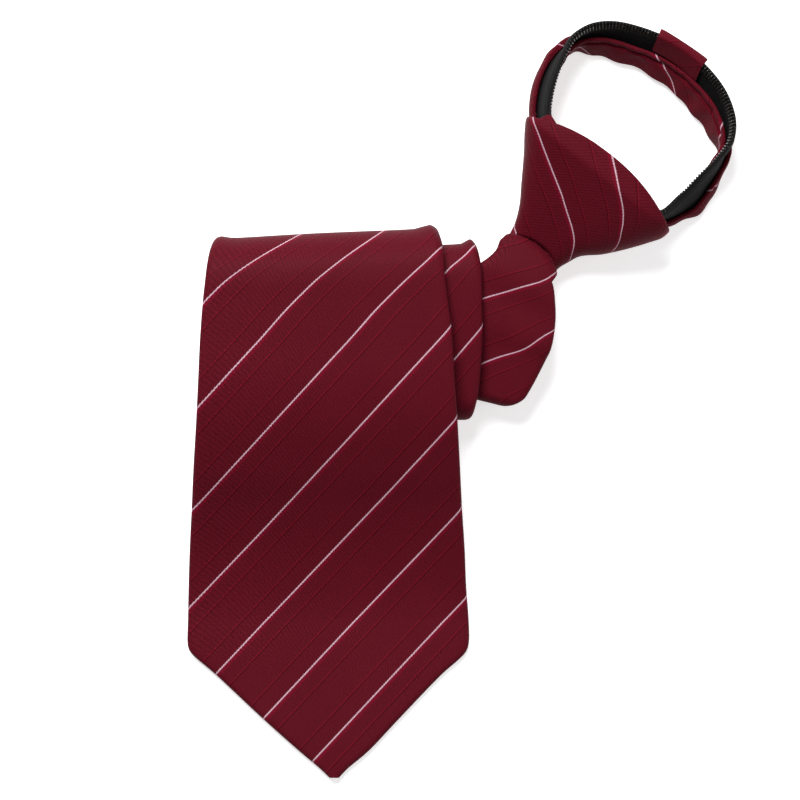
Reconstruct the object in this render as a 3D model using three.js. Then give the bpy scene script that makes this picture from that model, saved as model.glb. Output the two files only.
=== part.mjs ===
// A ready-tied necktie that closes with a zip, lying on a table with its face up.
// The knot is sewn for good. The neck loop is two halves of a zip band that run into the knot, and the wide
// blade below the knot is wound in a flat spiral, with its pointed front end lying out in front.
// Units are millimetres, +Z is up, +Y runs from the point to the neck loop, and the origin is under the
// middle of the whole tie, on the table.
import * as THREE from 'three'

// Blade: a strip of silk folded over its interlining.
const BLADE_WIDTH = 80.5 // corner to corner, above the point
const CLOTH = 2.8 // thickness of the folded and lined strip
const NECK_CLOTH = 2.2 // thickness where the strip leaves the knot
const ROLL_LENGTH = 51 // the wound part, from its top folds to its bottom folds
const FRONT_LENGTH = 154.3 // from the top fold to the point
const INNER_GAP = 0.7 // between the two lowest layers
const CORE = 10.2 // hollow of the spiral, centre to centre of the layers round it
const OUTER_GAP = 1.7 // between the upper layers

// Knot: two wraps, one inside the other.
const KNOT_LENGTH = 28.5 // from the foot to the top corners
const KNOT_BULGE = 6 // how far the top edge bows out beyond its corners
const KNOT_FOOT_WIDTH = 17.2
const KNOT_TOP_WIDTH = 52
const KNOT_FOOT_DEPTH = 10.4
const KNOT_TOP_DEPTH = 26.6
const KNOT_BACK_LENGTH = 21 // the back ends lower than the front, to let the neck band in
const KNOT_WALL = 2.2
const KNOT_EDGE_WALL = 1.2 // the wrap gets thinner towards its top edge
const INNER_WRAP = 1.8
const INNER_WRAP_FOOT = 8 // where the inner wrap starts, above the knot's foot
const KNOT_TURN = THREE.MathUtils.degToRad(38.9) // between the knot's axis and the front blade's
const KNOT_ASIDE = 20.7 // foot of the knot, to the right of the front blade's corner line
const KNOT_BELOW = 3.45 // foot of the knot, below the roll's top folds

// Neck loop: cloth binding, zip tape and teeth, standing on the binding's edge.
const LOOP_SIZE = 60
const BAND_WIDTH = 16.2 // from the binding's folded edge to the tips of the teeth
const TAPE_THICKNESS = 1
const TAPE_START = 3.2 // depth of the tape's sewn edge inside the binding
const BINDING_OUTSIDE = 4.6 // height of the binding on the loop's outer face
const BINDING_INSIDE = 10 // and on the face that meets the neck
const BINDING_CLOTH = 1.2
const TOOTH_PITCH = 1.15
const TOOTH_HEIGHT = 1.5
const TOOTH_WIDTH = 2.4
const KEEPER_LENGTH = 15.7
const KEEPER_CLOTH = 0.9
const SLIDER_LENGTH = 10
const SLIDER_WIDTH = 8
const SLIDER_DEPTH = 4.5
const TAIL_CLOTH = 2
const CLEARANCE = 0.3 // between pieces that touch

const CLOTH_COLOUR = 0x561520
const BINDING_COLOUR = 0x5d1522
const TAPE_COLOUR = 0x17181a
const TEETH_COLOUR = 0x1f1e1e

// Heights of the strip's centre line in each layer, from the table up.
const UNDER_2 = CLOTH / 2
const UNDER_3 = UNDER_2 + CLOTH + INNER_GAP
const LAYER_3 = UNDER_3 + CORE
const LAYER_2 = LAYER_3 + CLOTH + OUTER_GAP
const FRONT = LAYER_2 + CLOTH + OUTER_GAP

const FOLD_STEPS = 6
const ROW_STEPS = 4

// The knot's own frame: s runs up its axis from the foot, t runs across to its right.
const knotAxis = new THREE.Vector2(Math.sin(KNOT_TURN), Math.cos(KNOT_TURN))
const knotAcross = new THREE.Vector2(Math.cos(KNOT_TURN), -Math.sin(KNOT_TURN))

function inKnot(s, t, z) {
  return new THREE.Vector3(
    KNOT_ASIDE + s * knotAxis.x + t * knotAcross.x,
    -KNOT_BELOW + s * knotAxis.y + t * knotAcross.y,
    z,
  )
}

// A straight line across a strip of cloth, level with the table. Its middle may bow forward or up.
function row(left, right, options = {}) {
  const { bow = 0, crown = 0, cloth = CLOTH, steps = 1 } = options
  const across = right.clone().sub(left).normalize()
  const middle = left.clone().add(right).multiplyScalar(0.5)
  middle.x -= across.y * bow
  middle.y += across.x * bow
  middle.z += crown
  return { left, right, middle, cloth, steps }
}

// Rows round a fold of half a turn: outward is -1 for a fold at the bottom, 1 for one at the top.
function fold(from, to, outward, options = {}) {
  const rows = []
  const steps = options.foldSteps ?? FOLD_STEPS
  const radius = Math.abs(to.left.z - from.left.z) / 2
  for (let i = 0; i <= steps; i += 1) {
    const turn = (Math.PI * i) / steps
    const share = (1 - Math.cos(turn)) / 2
    const left = from.left.clone().lerp(to.left, i / steps)
    const right = from.right.clone().lerp(to.right, i / steps)
    const across = right.clone().sub(left).setZ(0).normalize()
    const reach = outward * radius * Math.sin(turn)
    for (const end of [left, right]) {
      end.x -= across.y * reach
      end.y += across.x * reach
    }
    left.z = THREE.MathUtils.lerp(from.left.z, to.left.z, share)
    right.z = THREE.MathUtils.lerp(from.right.z, to.right.z, share)
    rows.push(row(left, right, options))
  }
  return rows
}

// A closed mesh from rings of points that all have the same count. Its ends meet each other when looped, and
// are capped otherwise: fanned from the middle where the ring is a plain lens, cut flat where it isn't.
function skin(rings, { looped = false, fanned = false } = {}) {
  const around = rings[0].length
  const positions = rings.flat().flatMap((p) => p.toArray())
  const index = []
  const last = looped ? rings.length : rings.length - 1
  for (let i = 0; i < last; i += 1) {
    const here = i * around
    const next = ((i + 1) % rings.length) * around
    for (let j = 0; j < around; j += 1) {
      const k = (j + 1) % around
      index.push(here + j, next + j, next + k, here + j, next + k, here + k)
    }
  }
  if (looped) return solid(positions, index)
  const start = (rings.length - 1) * around
  for (const [ring, first, flip] of [[rings[0], 0, false], [rings.at(-1), start, true]]) {
    const faces = fanned ? fanFaces(ring, positions, first) : capFaces(ring, first)
    for (const [a, b, c] of faces) index.push(...(flip ? [a, c, b] : [a, b, c]))
  }
  return solid(positions, index)
}

// A fan of triangles from a new point in the middle of a ring.
function fanFaces(ring, positions, first) {
  const middle = ring.reduce((sum, p) => sum.add(p), new THREE.Vector3()).divideScalar(ring.length)
  const centre = positions.length / 3
  positions.push(...middle.toArray())
  return ring.map((_, j) => [centre, first + j, first + ((j + 1) % ring.length)])
}

// Triangles that close one ring, seen in the plane that the ring lies in.
function capFaces(ring, first) {
  const origin = ring[0]
  const along = farthest(ring, origin).clone().sub(origin).normalize()
  const normal = new THREE.Vector3()
  for (let i = 0; i < ring.length; i += 1) {
    const a = ring[i].clone().sub(origin)
    const b = ring[(i + 1) % ring.length].clone().sub(origin)
    normal.add(a.cross(b))
  }
  const aside = normal.normalize().cross(along)
  const flat = ring.map((p) => {
    const from = p.clone().sub(origin)
    return new THREE.Vector2(from.dot(along), from.dot(aside))
  })
  return THREE.ShapeUtils.triangulateShape(flat, []).map((face) => face.map((i) => first + i))
}

function farthest(points, from) {
  return points.reduce((best, p) => (p.distanceTo(from) > best.distanceTo(from) ? p : best), from)
}

// An indexed geometry, turned inside out if its faces would point inwards.
function solid(positions, index) {
  const corner = (i) => new THREE.Vector3().fromArray(positions, 3 * i)
  let volume = 0
  for (let i = 0; i < index.length; i += 3) {
    volume += corner(index[i]).dot(corner(index[i + 1]).cross(corner(index[i + 2])))
  }
  const faces = volume < 0 ? index.slice().reverse() : index
  const geometry = new THREE.BufferGeometry()
  geometry.setAttribute('position', new THREE.Float32BufferAttribute(positions, 3))
  geometry.setIndex(faces)
  geometry.computeVertexNormals()
  return geometry
}

// Places across a strip, as shares of half its width, and the share of its thickness there.
function stripSection(width, cloth) {
  const rim = Math.min(0.35 * cloth, 0.12 * width) / (width / 2)
  const flat = Math.min(0.9 * cloth, 0.3 * width) / (width / 2)
  const top = [
    [-1, 0],
    [rim - 1, 0.72],
    [flat - 1, 1],
    [(flat - 1) / 2, 1],
    [0, 1],
    [(1 - flat) / 2, 1],
    [1 - flat, 1],
    [1 - rim, 0.72],
    [1, 0],
  ]
  const bottom = top.slice(1, -1).reverse().map(([u, v]) => [u, -v])
  return [...top, ...bottom]
}

// A padded strip that follows its rows. Its upper face is the one that is up while the strip runs down.
function strip(rows) {
  const curves = ['left', 'right', 'middle'].map((key) => {
    return new THREE.CatmullRomCurve3(rows.map((r) => r[key]), false, 'centripetal')
  })
  const places = []
  rows.forEach((r, i) => {
    const count = i === rows.length - 1 ? 1 : r.steps
    for (let k = 0; k < count; k += 1) places.push(i + k / count)
  })
  const stations = places.map((place) => {
    const i = Math.min(Math.floor(place), rows.length - 2)
    const cloth = THREE.MathUtils.lerp(rows[i].cloth, rows[i + 1].cloth, place - i)
    const [left, right, middle] = curves.map((c) => c.getPoint(place / (rows.length - 1)))
    for (const p of [left, right, middle]) p.z = Math.max(p.z, cloth / 2)
    return { left, right, middle, cloth }
  })
  const at = ({ left, right, middle }, u) => {
    const straight = left.clone().lerp(right, (1 + u) / 2)
    const centre = left.clone().lerp(right, 0.5)
    return straight.addScaledVector(middle.clone().sub(centre), 1 - u * u)
  }
  const rings = stations.map((station, i) => {
    const before = stations[Math.max(i - 1, 0)]
    const after = stations[Math.min(i + 1, stations.length - 1)]
    const width = station.left.distanceTo(station.right)
    return stripSection(width, station.cloth).map(([u, v]) => {
      const heading = at(after, u).sub(at(before, u))
      const across = at(station, Math.min(u + 0.1, 1)).sub(at(station, Math.max(u - 0.1, -1)))
      const normal = heading.cross(across).normalize()
      return at(station, u).addScaledVector(normal, (v * station.cloth) / 2)
    })
  })
  return skin(rings, { fanned: true })
}

// Blade. The first rows are shares of the knot's foot, the next ones of the roll, the last ones of the front.
function knotRow([along, toLeft, toRight, z], options) {
  const half = KNOT_FOOT_WIDTH / 2
  const s = along * KNOT_FOOT_WIDTH
  return row(inKnot(s, -toLeft * half, z), inKnot(s, toRight * half, z), options)
}

function rollRow([leftX, leftY, rightX, rightY], z, options) {
  const left = new THREE.Vector3(leftX * BLADE_WIDTH, -leftY * ROLL_LENGTH, z)
  const right = new THREE.Vector3(rightX * BLADE_WIDTH, -rightY * ROLL_LENGTH, z)
  return row(left, right, options)
}

function foldBetween(from, fromZ, to, toZ, outward, options) {
  return fold(rollRow(from, fromZ), rollRow(to, toZ), outward, options)
}

function frontRow([leftX, leftY, rightX, rightY, height], options) {
  const z = THREE.MathUtils.lerp(UNDER_2, FRONT, height)
  const left = new THREE.Vector3(leftX * BLADE_WIDTH, -leftY * FRONT_LENGTH, z)
  const right = new THREE.Vector3(rightX * BLADE_WIDTH, -rightY * FRONT_LENGTH, z)
  return row(left, right, options)
}

function bladeRows() {
  const neck = { cloth: NECK_CLOTH }
  const mouth = KNOT_FOOT_DEPTH * 0.63
  const tuckLow = KNOT_FOOT_DEPTH + NECK_CLOTH / 2 + 4 * CLEARANCE
  const tuckHigh = tuckLow + NECK_CLOTH * 1.7
  const rows = [
    knotRow([0.7, 0.76, 0.64, mouth + 0.16 * KNOT_FOOT_DEPTH], { ...neck, steps: 2 }),
    knotRow([0.35, 0.72, 0.6, mouth + 0.06 * KNOT_FOOT_DEPTH], { ...neck, steps: 2 }),
    knotRow([0.03, 0.67, 0.54, mouth], neck),
  ]
  // The pleat outside the foot: the cloth turns up and back, lies over the knot's foot, and turns again.
  rows.push(
    ...fold(
      knotRow([-0.17, 0.84, 0.78, mouth]),
      knotRow([-0.17, 0.95, 0.9, tuckLow]),
      -1,
      neck,
    ),
    ...fold(
      knotRow([-0.02, 1.1, 1.0, tuckLow]),
      knotRow([-0.02, 1.1, 1.0, tuckHigh]),
      1,
      { ...neck, bow: 0.05 * KNOT_FOOT_WIDTH },
    ),
  )
  const puffed = (bow, crown) => ({ bow: bow * KNOT_FOOT_WIDTH, crown: crown * CLOTH, steps: 2 })
  rows.push(
    rollRow([0.12, 0.057, 0.324, 0.269], tuckHigh, { ...puffed(0.07, 0.3), cloth: NECK_CLOTH }),
    rollRow([0.066, 0.129, 0.33, 0.343], tuckHigh, puffed(0.04, 0.3)),
    rollRow([-0.037, 0.198, 0.332, 0.447], LAYER_3 + 0.04 * CORE, puffed(0.02, 0.2)),
    rollRow([-0.124, 0.306, 0.318, 0.6], LAYER_3, puffed(0, 0.1)),
    rollRow([-0.211, 0.453, 0.296, 0.678], LAYER_3, { steps: 2 }),
    ...foldBetween([-0.311, 0.604, 0.236, 0.835], LAYER_3, [-0.373, 0.62, 0.155, 0.796], UNDER_3, -1),
    rollRow([-0.509, 0.404, 0.112, 0.502], UNDER_3, { steps: 2 }),
    ...foldBetween([-0.646, 0.222, 0.056, 0.172], UNDER_3, [-0.658, 0.222, 0.055, 0.172], LAYER_2, 1),
    rollRow([-0.652, 0.365, 0.075, 0.345], LAYER_2, { steps: 2 }),
    rollRow([-0.646, 0.561, 0.08, 0.561], LAYER_2, { steps: 2 }),
    ...foldBetween([-0.652, 0.798, 0.066, 0.798], LAYER_2, [-0.708, 0.798, 0.002, 0.798], UNDER_2, -1),
    rollRow([-0.783, 0.522, -0.031, 0.502], UNDER_2, { steps: 2 }),
    ...foldBetween([-0.845, 0.243, -0.056, 0.18], UNDER_2, [-0.911, 0.243, -0.062, 0.18], FRONT, 1),
  )
  // The front: left x, left y, right x, right y and height, down to the point.
  const frontShares = [
    [-0.918, 0.114, -0.051, 0.108, 1],
    [-0.927, 0.176, -0.036, 0.172, 0.991],
    [-0.935, 0.263, -0.026, 0.26, 0.96],
    [-0.942, 0.334, -0.016, 0.335, 0.855],
    [-0.953, 0.424, -0.007, 0.419, 0.621],
    [-0.96, 0.496, 0, 0.492, 0.379],
    [-0.968, 0.574, 0.01, 0.572, 0.167],
    [-0.973, 0.652, 0.016, 0.646, 0.04],
    [-0.975, 0.704, 0.024, 0.701, 0],
  ]
  const pointShares = [
    [-0.975, 0.754, 0.025, 0.747, 0],
    [-0.964, 0.766, 0.015, 0.764, 0],
    [-0.875, 0.807, -0.075, 0.808, 0],
    [-0.707, 0.889, -0.224, 0.889, 0],
    [-0.58, 0.948, -0.335, 0.95, 0],
    [-0.503, 0.982, -0.408, 0.982, 0],
    [-0.471, 0.998, -0.437, 0.998, 0],
  ]
  rows.push(...frontShares.map((shares) => frontRow(shares, { steps: 2 })))
  rows.push(...pointShares.map((shares) => frontRow(shares)))
  return rows
}

// Tail: the closed end of the zip band. It leaves the knot under the blade and folds once in the roll's core.
function tailRows() {
  const flat = { cloth: TAIL_CLOTH }
  const mouth = KNOT_WALL + TAIL_CLOTH / 2 + CLEARANCE
  const low = UNDER_3 + CLOTH / 2 + TAIL_CLOTH / 2 + CLEARANCE
  const high = LAYER_3 - CLOTH / 2 - TAIL_CLOTH / 2 - CLEARANCE
  return [
    knotRow([0.72, 0.62, 0.54, mouth + 0.1 * KNOT_FOOT_DEPTH], { ...flat, steps: 2 }),
    knotRow([0.35, 0.62, 0.54, mouth + 0.03 * KNOT_FOOT_DEPTH], { ...flat, steps: 2 }),
    knotRow([0.03, 0.6, 0.48, mouth], { ...flat, steps: 2 }),
    knotRow([-0.35, 0.75, 0.7, mouth], { ...flat, steps: 2 }),
    knotRow([-0.66, 0.9, 0.9, THREE.MathUtils.lerp(mouth, high, 0.35)], { ...flat, steps: 2 }),
    knotRow([-0.95, 1.15, 1.15, THREE.MathUtils.lerp(mouth, high, 0.8)], { ...flat, steps: 2 }),
    rollRow([-0.1, 0.47, 0.205, 0.61], high, { ...flat, steps: 2 }),
    ...foldBetween([-0.19, 0.58, 0.115, 0.7], high, [-0.21, 0.57, 0.095, 0.69], low, -1, flat),
    rollRow([-0.32, 0.4, -0.01, 0.45], low, { ...flat, steps: 2 }),
    rollRow([-0.4, 0.2, -0.09, 0.21], low, flat),
  ]
}

// Knot. Each side's outline gives shares of the length and shares of the way from foot to top width.
const KNOT_LEFT = {
  squareness: 4.2,
  outline: [
    [-0.05, 0.01],
    [0.07, 0.04],
    [0.26, 0.17],
    [0.47, 0.4],
    [0.72, 0.68],
    [0.9, 0.9],
    [1, 0.99],
    [1.3, 1],
  ],
}
const KNOT_RIGHT = {
  squareness: 3,
  outline: [
    [0, -0.02],
    [0.14, 0.05],
    [0.25, 0.13],
    [0.41, 0.4],
    [0.52, 0.55],
    [0.64, 0.7],
    [0.8, 0.88],
    [0.92, 1],
    [1.3, 1],
  ],
}

function readOff(table, x) {
  if (x <= table[0][0]) return table[0][1]
  const i = table.findIndex(([place]) => place >= x)
  if (i < 0) return table.at(-1)[1]
  const [x0, y0] = table[i - 1]
  const [x1, y1] = table[i]
  return THREE.MathUtils.mapLinear(x, x0, x1, y0, y1)
}

function knotWall(s) {
  const share = THREE.MathUtils.clamp(s / KNOT_LENGTH, 0, 1)
  return THREE.MathUtils.lerp(KNOT_WALL, KNOT_EDGE_WALL, share ** 3)
}

// Where the direction phi round the knot meets its surface, as shares of the half width and half depth.
function knotShares(phi) {
  const side = Math.cos(phi) < 0 ? KNOT_LEFT : KNOT_RIGHT
  const power = 2 / side.squareness
  const x = Math.sign(Math.cos(phi)) * Math.abs(Math.cos(phi)) ** power
  const z = Math.sign(Math.sin(phi)) * Math.abs(Math.sin(phi)) ** power
  return { side, x, z }
}

function knotPoint(s, phi, inset) {
  const { side, x, z } = knotShares(phi)
  const spread = readOff(side.outline, s / KNOT_LENGTH)
  const halfWidth = THREE.MathUtils.lerp(KNOT_FOOT_WIDTH, KNOT_TOP_WIDTH, spread) / 2
  const rise = THREE.MathUtils.clamp(s / KNOT_LENGTH, 0, 1) ** 1.1
  const halfDepth = THREE.MathUtils.lerp(KNOT_FOOT_DEPTH, KNOT_TOP_DEPTH, rise) / 2
  return inKnot(s, x * (halfWidth - inset), halfDepth + z * (halfDepth - inset))
}

function knotTop(phi) {
  const { x, z } = knotShares(phi)
  const front = KNOT_LENGTH + KNOT_BULGE * (1 - Math.abs(x) ** 2.2)
  return THREE.MathUtils.lerp(KNOT_BACK_LENGTH, front, THREE.MathUtils.smoothstep(z, -0.7, 0))
}

function knotWrap() {
  const around = 28
  const levels = 9
  const foot = -0.02 * KNOT_LENGTH
  const rings = []
  const ringAt = (share, depth, beyond) => {
    rings.push(
      Array.from({ length: around }, (_, j) => {
        const phi = (2 * Math.PI * (j + 0.5)) / around
        const s = THREE.MathUtils.lerp(foot, knotTop(phi), share) + beyond
        return knotPoint(s, phi, depth * knotWall(s))
      }),
    )
  }
  const round = KNOT_EDGE_WALL / 3
  for (let i = 0; i <= levels; i += 1) ringAt(i / levels, 0, 0)
  ringAt(1, 0.5, round)
  for (let i = levels; i >= 0; i -= 1) ringAt(i / levels, 1, 0)
  ringAt(0, 0.5, -round)
  return skin(rings, { looped: true })
}

// The inner wrap arches under the front of the knot. Its folded shoulder stands out at the top left.
function knotInnerWrap() {
  const steps = 16
  const levels = 7
  const shoulder = -0.92
  const reach = (phi) => {
    const { x } = knotShares(phi)
    const fall = x > shoulder ? 0.28 * (x - shoulder) : 1.77 * (shoulder - x)
    return KNOT_LENGTH * (1.165 - fall)
  }
  const rings = Array.from({ length: steps + 1 }, (_, j) => {
    const phi = Math.PI * THREE.MathUtils.lerp(0.88, 0.14, j / steps)
    const side = (inset) => {
      return Array.from({ length: levels + 1 }, (_, i) => {
        const s = THREE.MathUtils.lerp(INNER_WRAP_FOOT, reach(phi), i / levels)
        return knotPoint(s, phi, knotWall(s) + 3 * CLEARANCE + inset)
      })
    }
    return [...side(0), ...side(INNER_WRAP).reverse()]
  })
  return skin(rings)
}

const tapeFace = TAPE_THICKNESS / 2
const tapeTop = BAND_WIDTH - TOOTH_HEIGHT - CLEARANCE
const toothFace = TOOTH_WIDTH / 2
const bindingFace = tapeFace + CLEARANCE
const bindingOuter = bindingFace + BINDING_CLOTH
const bindingSoft = BINDING_CLOTH / 2

// Neck loop. Teeth edge x and y, then binding edge x and y, as shares of the loop's size from its middle.
const LOOP_SHARES = [
  [-0.419, 0.029, -0.486, 0.029],
  [-0.414, 0.119, -0.483, 0.124],
  [-0.393, 0.21, -0.462, 0.21],
  [-0.367, 0.286, -0.426, 0.281],
  [-0.34, 0.352, -0.376, 0.338],
  [-0.305, 0.419, -0.319, 0.367],
  [-0.224, 0.476, -0.243, 0.364],
  [-0.114, 0.49, -0.143, 0.345],
  [0.014, 0.464, -0.038, 0.302],
  [0.148, 0.41, 0.074, 0.257],
  [0.271, 0.331, 0.169, 0.183],
  [0.371, 0.233, 0.24, 0.107],
  [0.438, 0.124, 0.31, 0.038],
  [0.467, 0.005, 0.367, -0.048],
  [0.448, -0.081, 0.405, -0.124],
  [0.379, -0.167, 0.402, -0.195],
  [0.29, -0.252, 0.355, -0.293],
  [0.205, -0.338, 0.286, -0.395],
]
const KEEPER_ROW = 11.65 // the keeper's middle, counted in rows of the whole band
const LOOP_AHEAD = 0.308 // from the knot's corners to the loop's middle, as a share of its size

// The band's ends inside the knot: along, teeth edge across, binding edge across, lift of the binding edge.
const LEFT_END = [
  [0.8, -0.15, -0.56, 0.26],
  [0.93, -0.42, -0.7, 0.2],
]
const RIGHT_END = [
  [1.055, 0.78, 0.89, 0.1],
  [0.93, 0.44, 0.74, 0.2],
  [0.8, 0.15, 0.56, 0.26],
]

function bandRows() {
  const middle = inKnot(KNOT_LENGTH + LOOP_AHEAD * LOOP_SIZE, 0, 0)
  const fromMiddle = (x, y) => new THREE.Vector3(x, y, 0).multiplyScalar(LOOP_SIZE).add(middle)
  const inLoop = ([teethX, teethY, edgeX, edgeY]) => {
    return { teeth: fromMiddle(teethX, teethY), edge: fromMiddle(edgeX, edgeY), lift: 0 }
  }
  const atEnd = ([along, teethAcross, edgeAcross, lift]) => {
    const half = KNOT_TOP_WIDTH / 2
    const [teeth, edge] = [teethAcross, edgeAcross].map((t) => inKnot(along * KNOT_LENGTH, t * half, 0))
    return { teeth, edge, lift: lift * BAND_WIDTH }
  }
  const rows = [...LEFT_END.map(atEnd), ...LOOP_SHARES.map(inLoop), ...RIGHT_END.map(atEnd)]
  return rows.map(({ teeth, edge, lift }) => {
    const lean = teeth.distanceTo(edge) / BAND_WIDTH
    const rise = Math.sqrt(1 - lean * lean)
    const foot = lift + CLEARANCE + Math.max(bindingFace * lean, bindingOuter * lean - bindingSoft * rise)
    const top = foot + BAND_WIDTH * rise
    return { teeth: teeth.setZ(top), edge: edge.setZ(foot) }
  })
}

const bandLine = bandRows()
const teethCurve = new THREE.CatmullRomCurve3(bandLine.map((r) => r.teeth), false, 'centripetal')
const edgeCurve = new THREE.CatmullRomCurve3(bandLine.map((r) => r.edge), false, 'centripetal')
const lastRow = bandLine.length - 1
const [beforeKeeper, afterKeeper] = [Math.floor(KEEPER_ROW), Math.ceil(KEEPER_ROW)].map((i) => bandLine[i].teeth)
const keeperRowLength = beforeKeeper.distanceTo(afterKeeper)

// A frame on the band at a place counted in rows: up its width, and out of the loop.
function bandFrame(place) {
  const share = THREE.MathUtils.clamp(place / lastRow, 0, 1)
  const edge = edgeCurve.getPoint(share)
  const up = teethCurve.getPoint(share).sub(edge).normalize()
  const heading = edgeCurve.getTangent(share).add(teethCurve.getTangent(share))
  const outward = up.clone().cross(heading).normalize()
  return (width, out) => edge.clone().addScaledVector(up, width).addScaledVector(outward, out)
}

// A piece of the band: its section, width and out, carried from one place to another by shares of a row.
function alongBand(section, from, to) {
  const places = [from]
  for (let i = Math.floor(ROW_STEPS * from) + 1; i < ROW_STEPS * to; i += 1) places.push(i / ROW_STEPS)
  places.push(to)
  const rings = places.map((place) => {
    const at = bandFrame(place)
    return section.map(([width, out]) => at(width, out))
  })
  return skin(rings)
}

function neckBand() {
  const section = [
    [0, -bindingFace],
    [0, bindingFace],
    [bindingSoft, bindingOuter],
    [BINDING_OUTSIDE - bindingSoft, bindingOuter],
    [BINDING_OUTSIDE, bindingOuter - bindingSoft],
    [BINDING_OUTSIDE, bindingFace],
    [TAPE_START - CLEARANCE, bindingFace],
    [TAPE_START - CLEARANCE, -bindingFace],
    [BINDING_INSIDE, -bindingFace],
    [BINDING_INSIDE, bindingSoft - bindingOuter],
    [BINDING_INSIDE - bindingSoft, -bindingOuter],
    [bindingSoft, -bindingOuter],
  ]
  return alongBand(section, 0, lastRow)
}

function tape(from, to) {
  const section = [
    [TAPE_START, -tapeFace],
    [TAPE_START, tapeFace],
    [tapeTop, tapeFace],
    [tapeTop, -tapeFace],
  ]
  return alongBand(section, from, to)
}

// Teeth in one chain: a spine with a tooth at each pitch, so its rings are by turns wide and narrow.
function teeth(from, to) {
  const stretch = teethCurve.getLength() * ((to - from) / lastRow)
  const count = Math.round(stretch / TOOTH_PITCH)
  const bottom = tapeTop + CLEARANCE
  const rings = Array.from({ length: 2 * count + 1 }, (_, i) => {
    const at = bandFrame(THREE.MathUtils.lerp(from, to, i / (2 * count)))
    const onTooth = i % 2 === 1
    const face = onTooth ? toothFace : toothFace * 0.5
    const top = onTooth ? BAND_WIDTH : BAND_WIDTH - TOOTH_HEIGHT * 0.4
    return [at(bottom, -face), at(bottom, face), at(top, face), at(top, -face)]
  })
  return skin(rings)
}

// The keeper is a cloth tab folded over the teeth. Its outer leg is longer, down to the binding.
function keeper() {
  const inner = toothFace + CLEARANCE
  const outer = inner + KEEPER_CLOTH
  const crown = BAND_WIDTH + CLEARANCE
  const soft = KEEPER_CLOTH * 0.7
  const outsideFoot = BINDING_OUTSIDE + bindingOuter
  const section = [
    [outsideFoot, inner],
    [outsideFoot, outer],
    [crown + KEEPER_CLOTH - soft, outer],
    [crown + KEEPER_CLOTH, outer - soft],
    [crown + KEEPER_CLOTH, soft - outer],
    [crown + KEEPER_CLOTH - soft, -outer],
    [BINDING_INSIDE + CLEARANCE, -outer],
    [BINDING_INSIDE + CLEARANCE, -inner],
    [crown, -inner],
    [crown, inner],
  ]
  const reach = KEEPER_LENGTH / 2 / keeperRowLength
  return alongBand(section, KEEPER_ROW - reach, KEEPER_ROW + reach)
}

// The slider closes the two halves of the zip inside the knot. One plain piece with bevelled edges.
function slider() {
  const bevel = SLIDER_DEPTH / 5
  const shape = new THREE.Shape()
  const half = SLIDER_WIDTH / 2 - bevel
  shape.moveTo(-half * 0.6, 0)
  shape.lineTo(half * 0.6, 0)
  shape.lineTo(half, SLIDER_LENGTH * 0.6)
  shape.lineTo(half, SLIDER_LENGTH - 2 * bevel)
  shape.lineTo(-half, SLIDER_LENGTH - 2 * bevel)
  shape.lineTo(-half, SLIDER_LENGTH * 0.6)
  const depth = SLIDER_DEPTH - 2 * bevel
  const options = { depth, bevelThickness: bevel, bevelSize: bevel, bevelSegments: 1 }
  const geometry = new THREE.ExtrudeGeometry(shape, options)
  geometry.translate(0, bevel, bevel)
  return geometry
}

const necktie = new THREE.Group()

function add(name, geometry, color, roughness) {
  const material = new THREE.MeshStandardMaterial({ color, roughness, metalness: 0 })
  const mesh = new THREE.Mesh(geometry, material)
  mesh.name = name
  necktie.add(mesh)
  return mesh
}

const joint = CLEARANCE / 2 / keeperRowLength
add('blade', strip(bladeRows()), CLOTH_COLOUR, 0.55)
add('knot_wrap', knotWrap(), CLOTH_COLOUR, 0.55)
add('knot_inner_wrap', knotInnerWrap(), CLOTH_COLOUR, 0.55)
add('neck_band', neckBand(), BINDING_COLOUR, 0.6)
add('zipper_tape_left', tape(0, KEEPER_ROW - joint), TAPE_COLOUR, 0.85)
add('zipper_tape_right', tape(KEEPER_ROW + joint, lastRow), TAPE_COLOUR, 0.85)
add('zipper_teeth_left', teeth(0, KEEPER_ROW - joint), TEETH_COLOUR, 0.45)
add('zipper_teeth_right', teeth(KEEPER_ROW + joint, lastRow), TEETH_COLOUR, 0.45)
add('keeper', keeper(), BINDING_COLOUR, 0.6)
add('tail', strip(tailRows()), BINDING_COLOUR, 0.6)

const zipSlider = add('zipper_slider', slider(), TEETH_COLOUR, 0.4)
zipSlider.position.copy(inKnot(0.74 * KNOT_FOOT_WIDTH + CLEARANCE, 0, KNOT_WALL + CLEARANCE))
zipSlider.rotation.z = -KNOT_TURN

// The tie's own origin is under the middle of everything.
const bounds = new THREE.Box3().setFromObject(necktie, true)
const centre = bounds.getCenter(new THREE.Vector3())
for (const mesh of necktie.children) {
  mesh.position.x -= centre.x
  mesh.position.y -= centre.y
  mesh.position.z -= bounds.min.z
}

export default necktie
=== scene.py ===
import math

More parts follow.
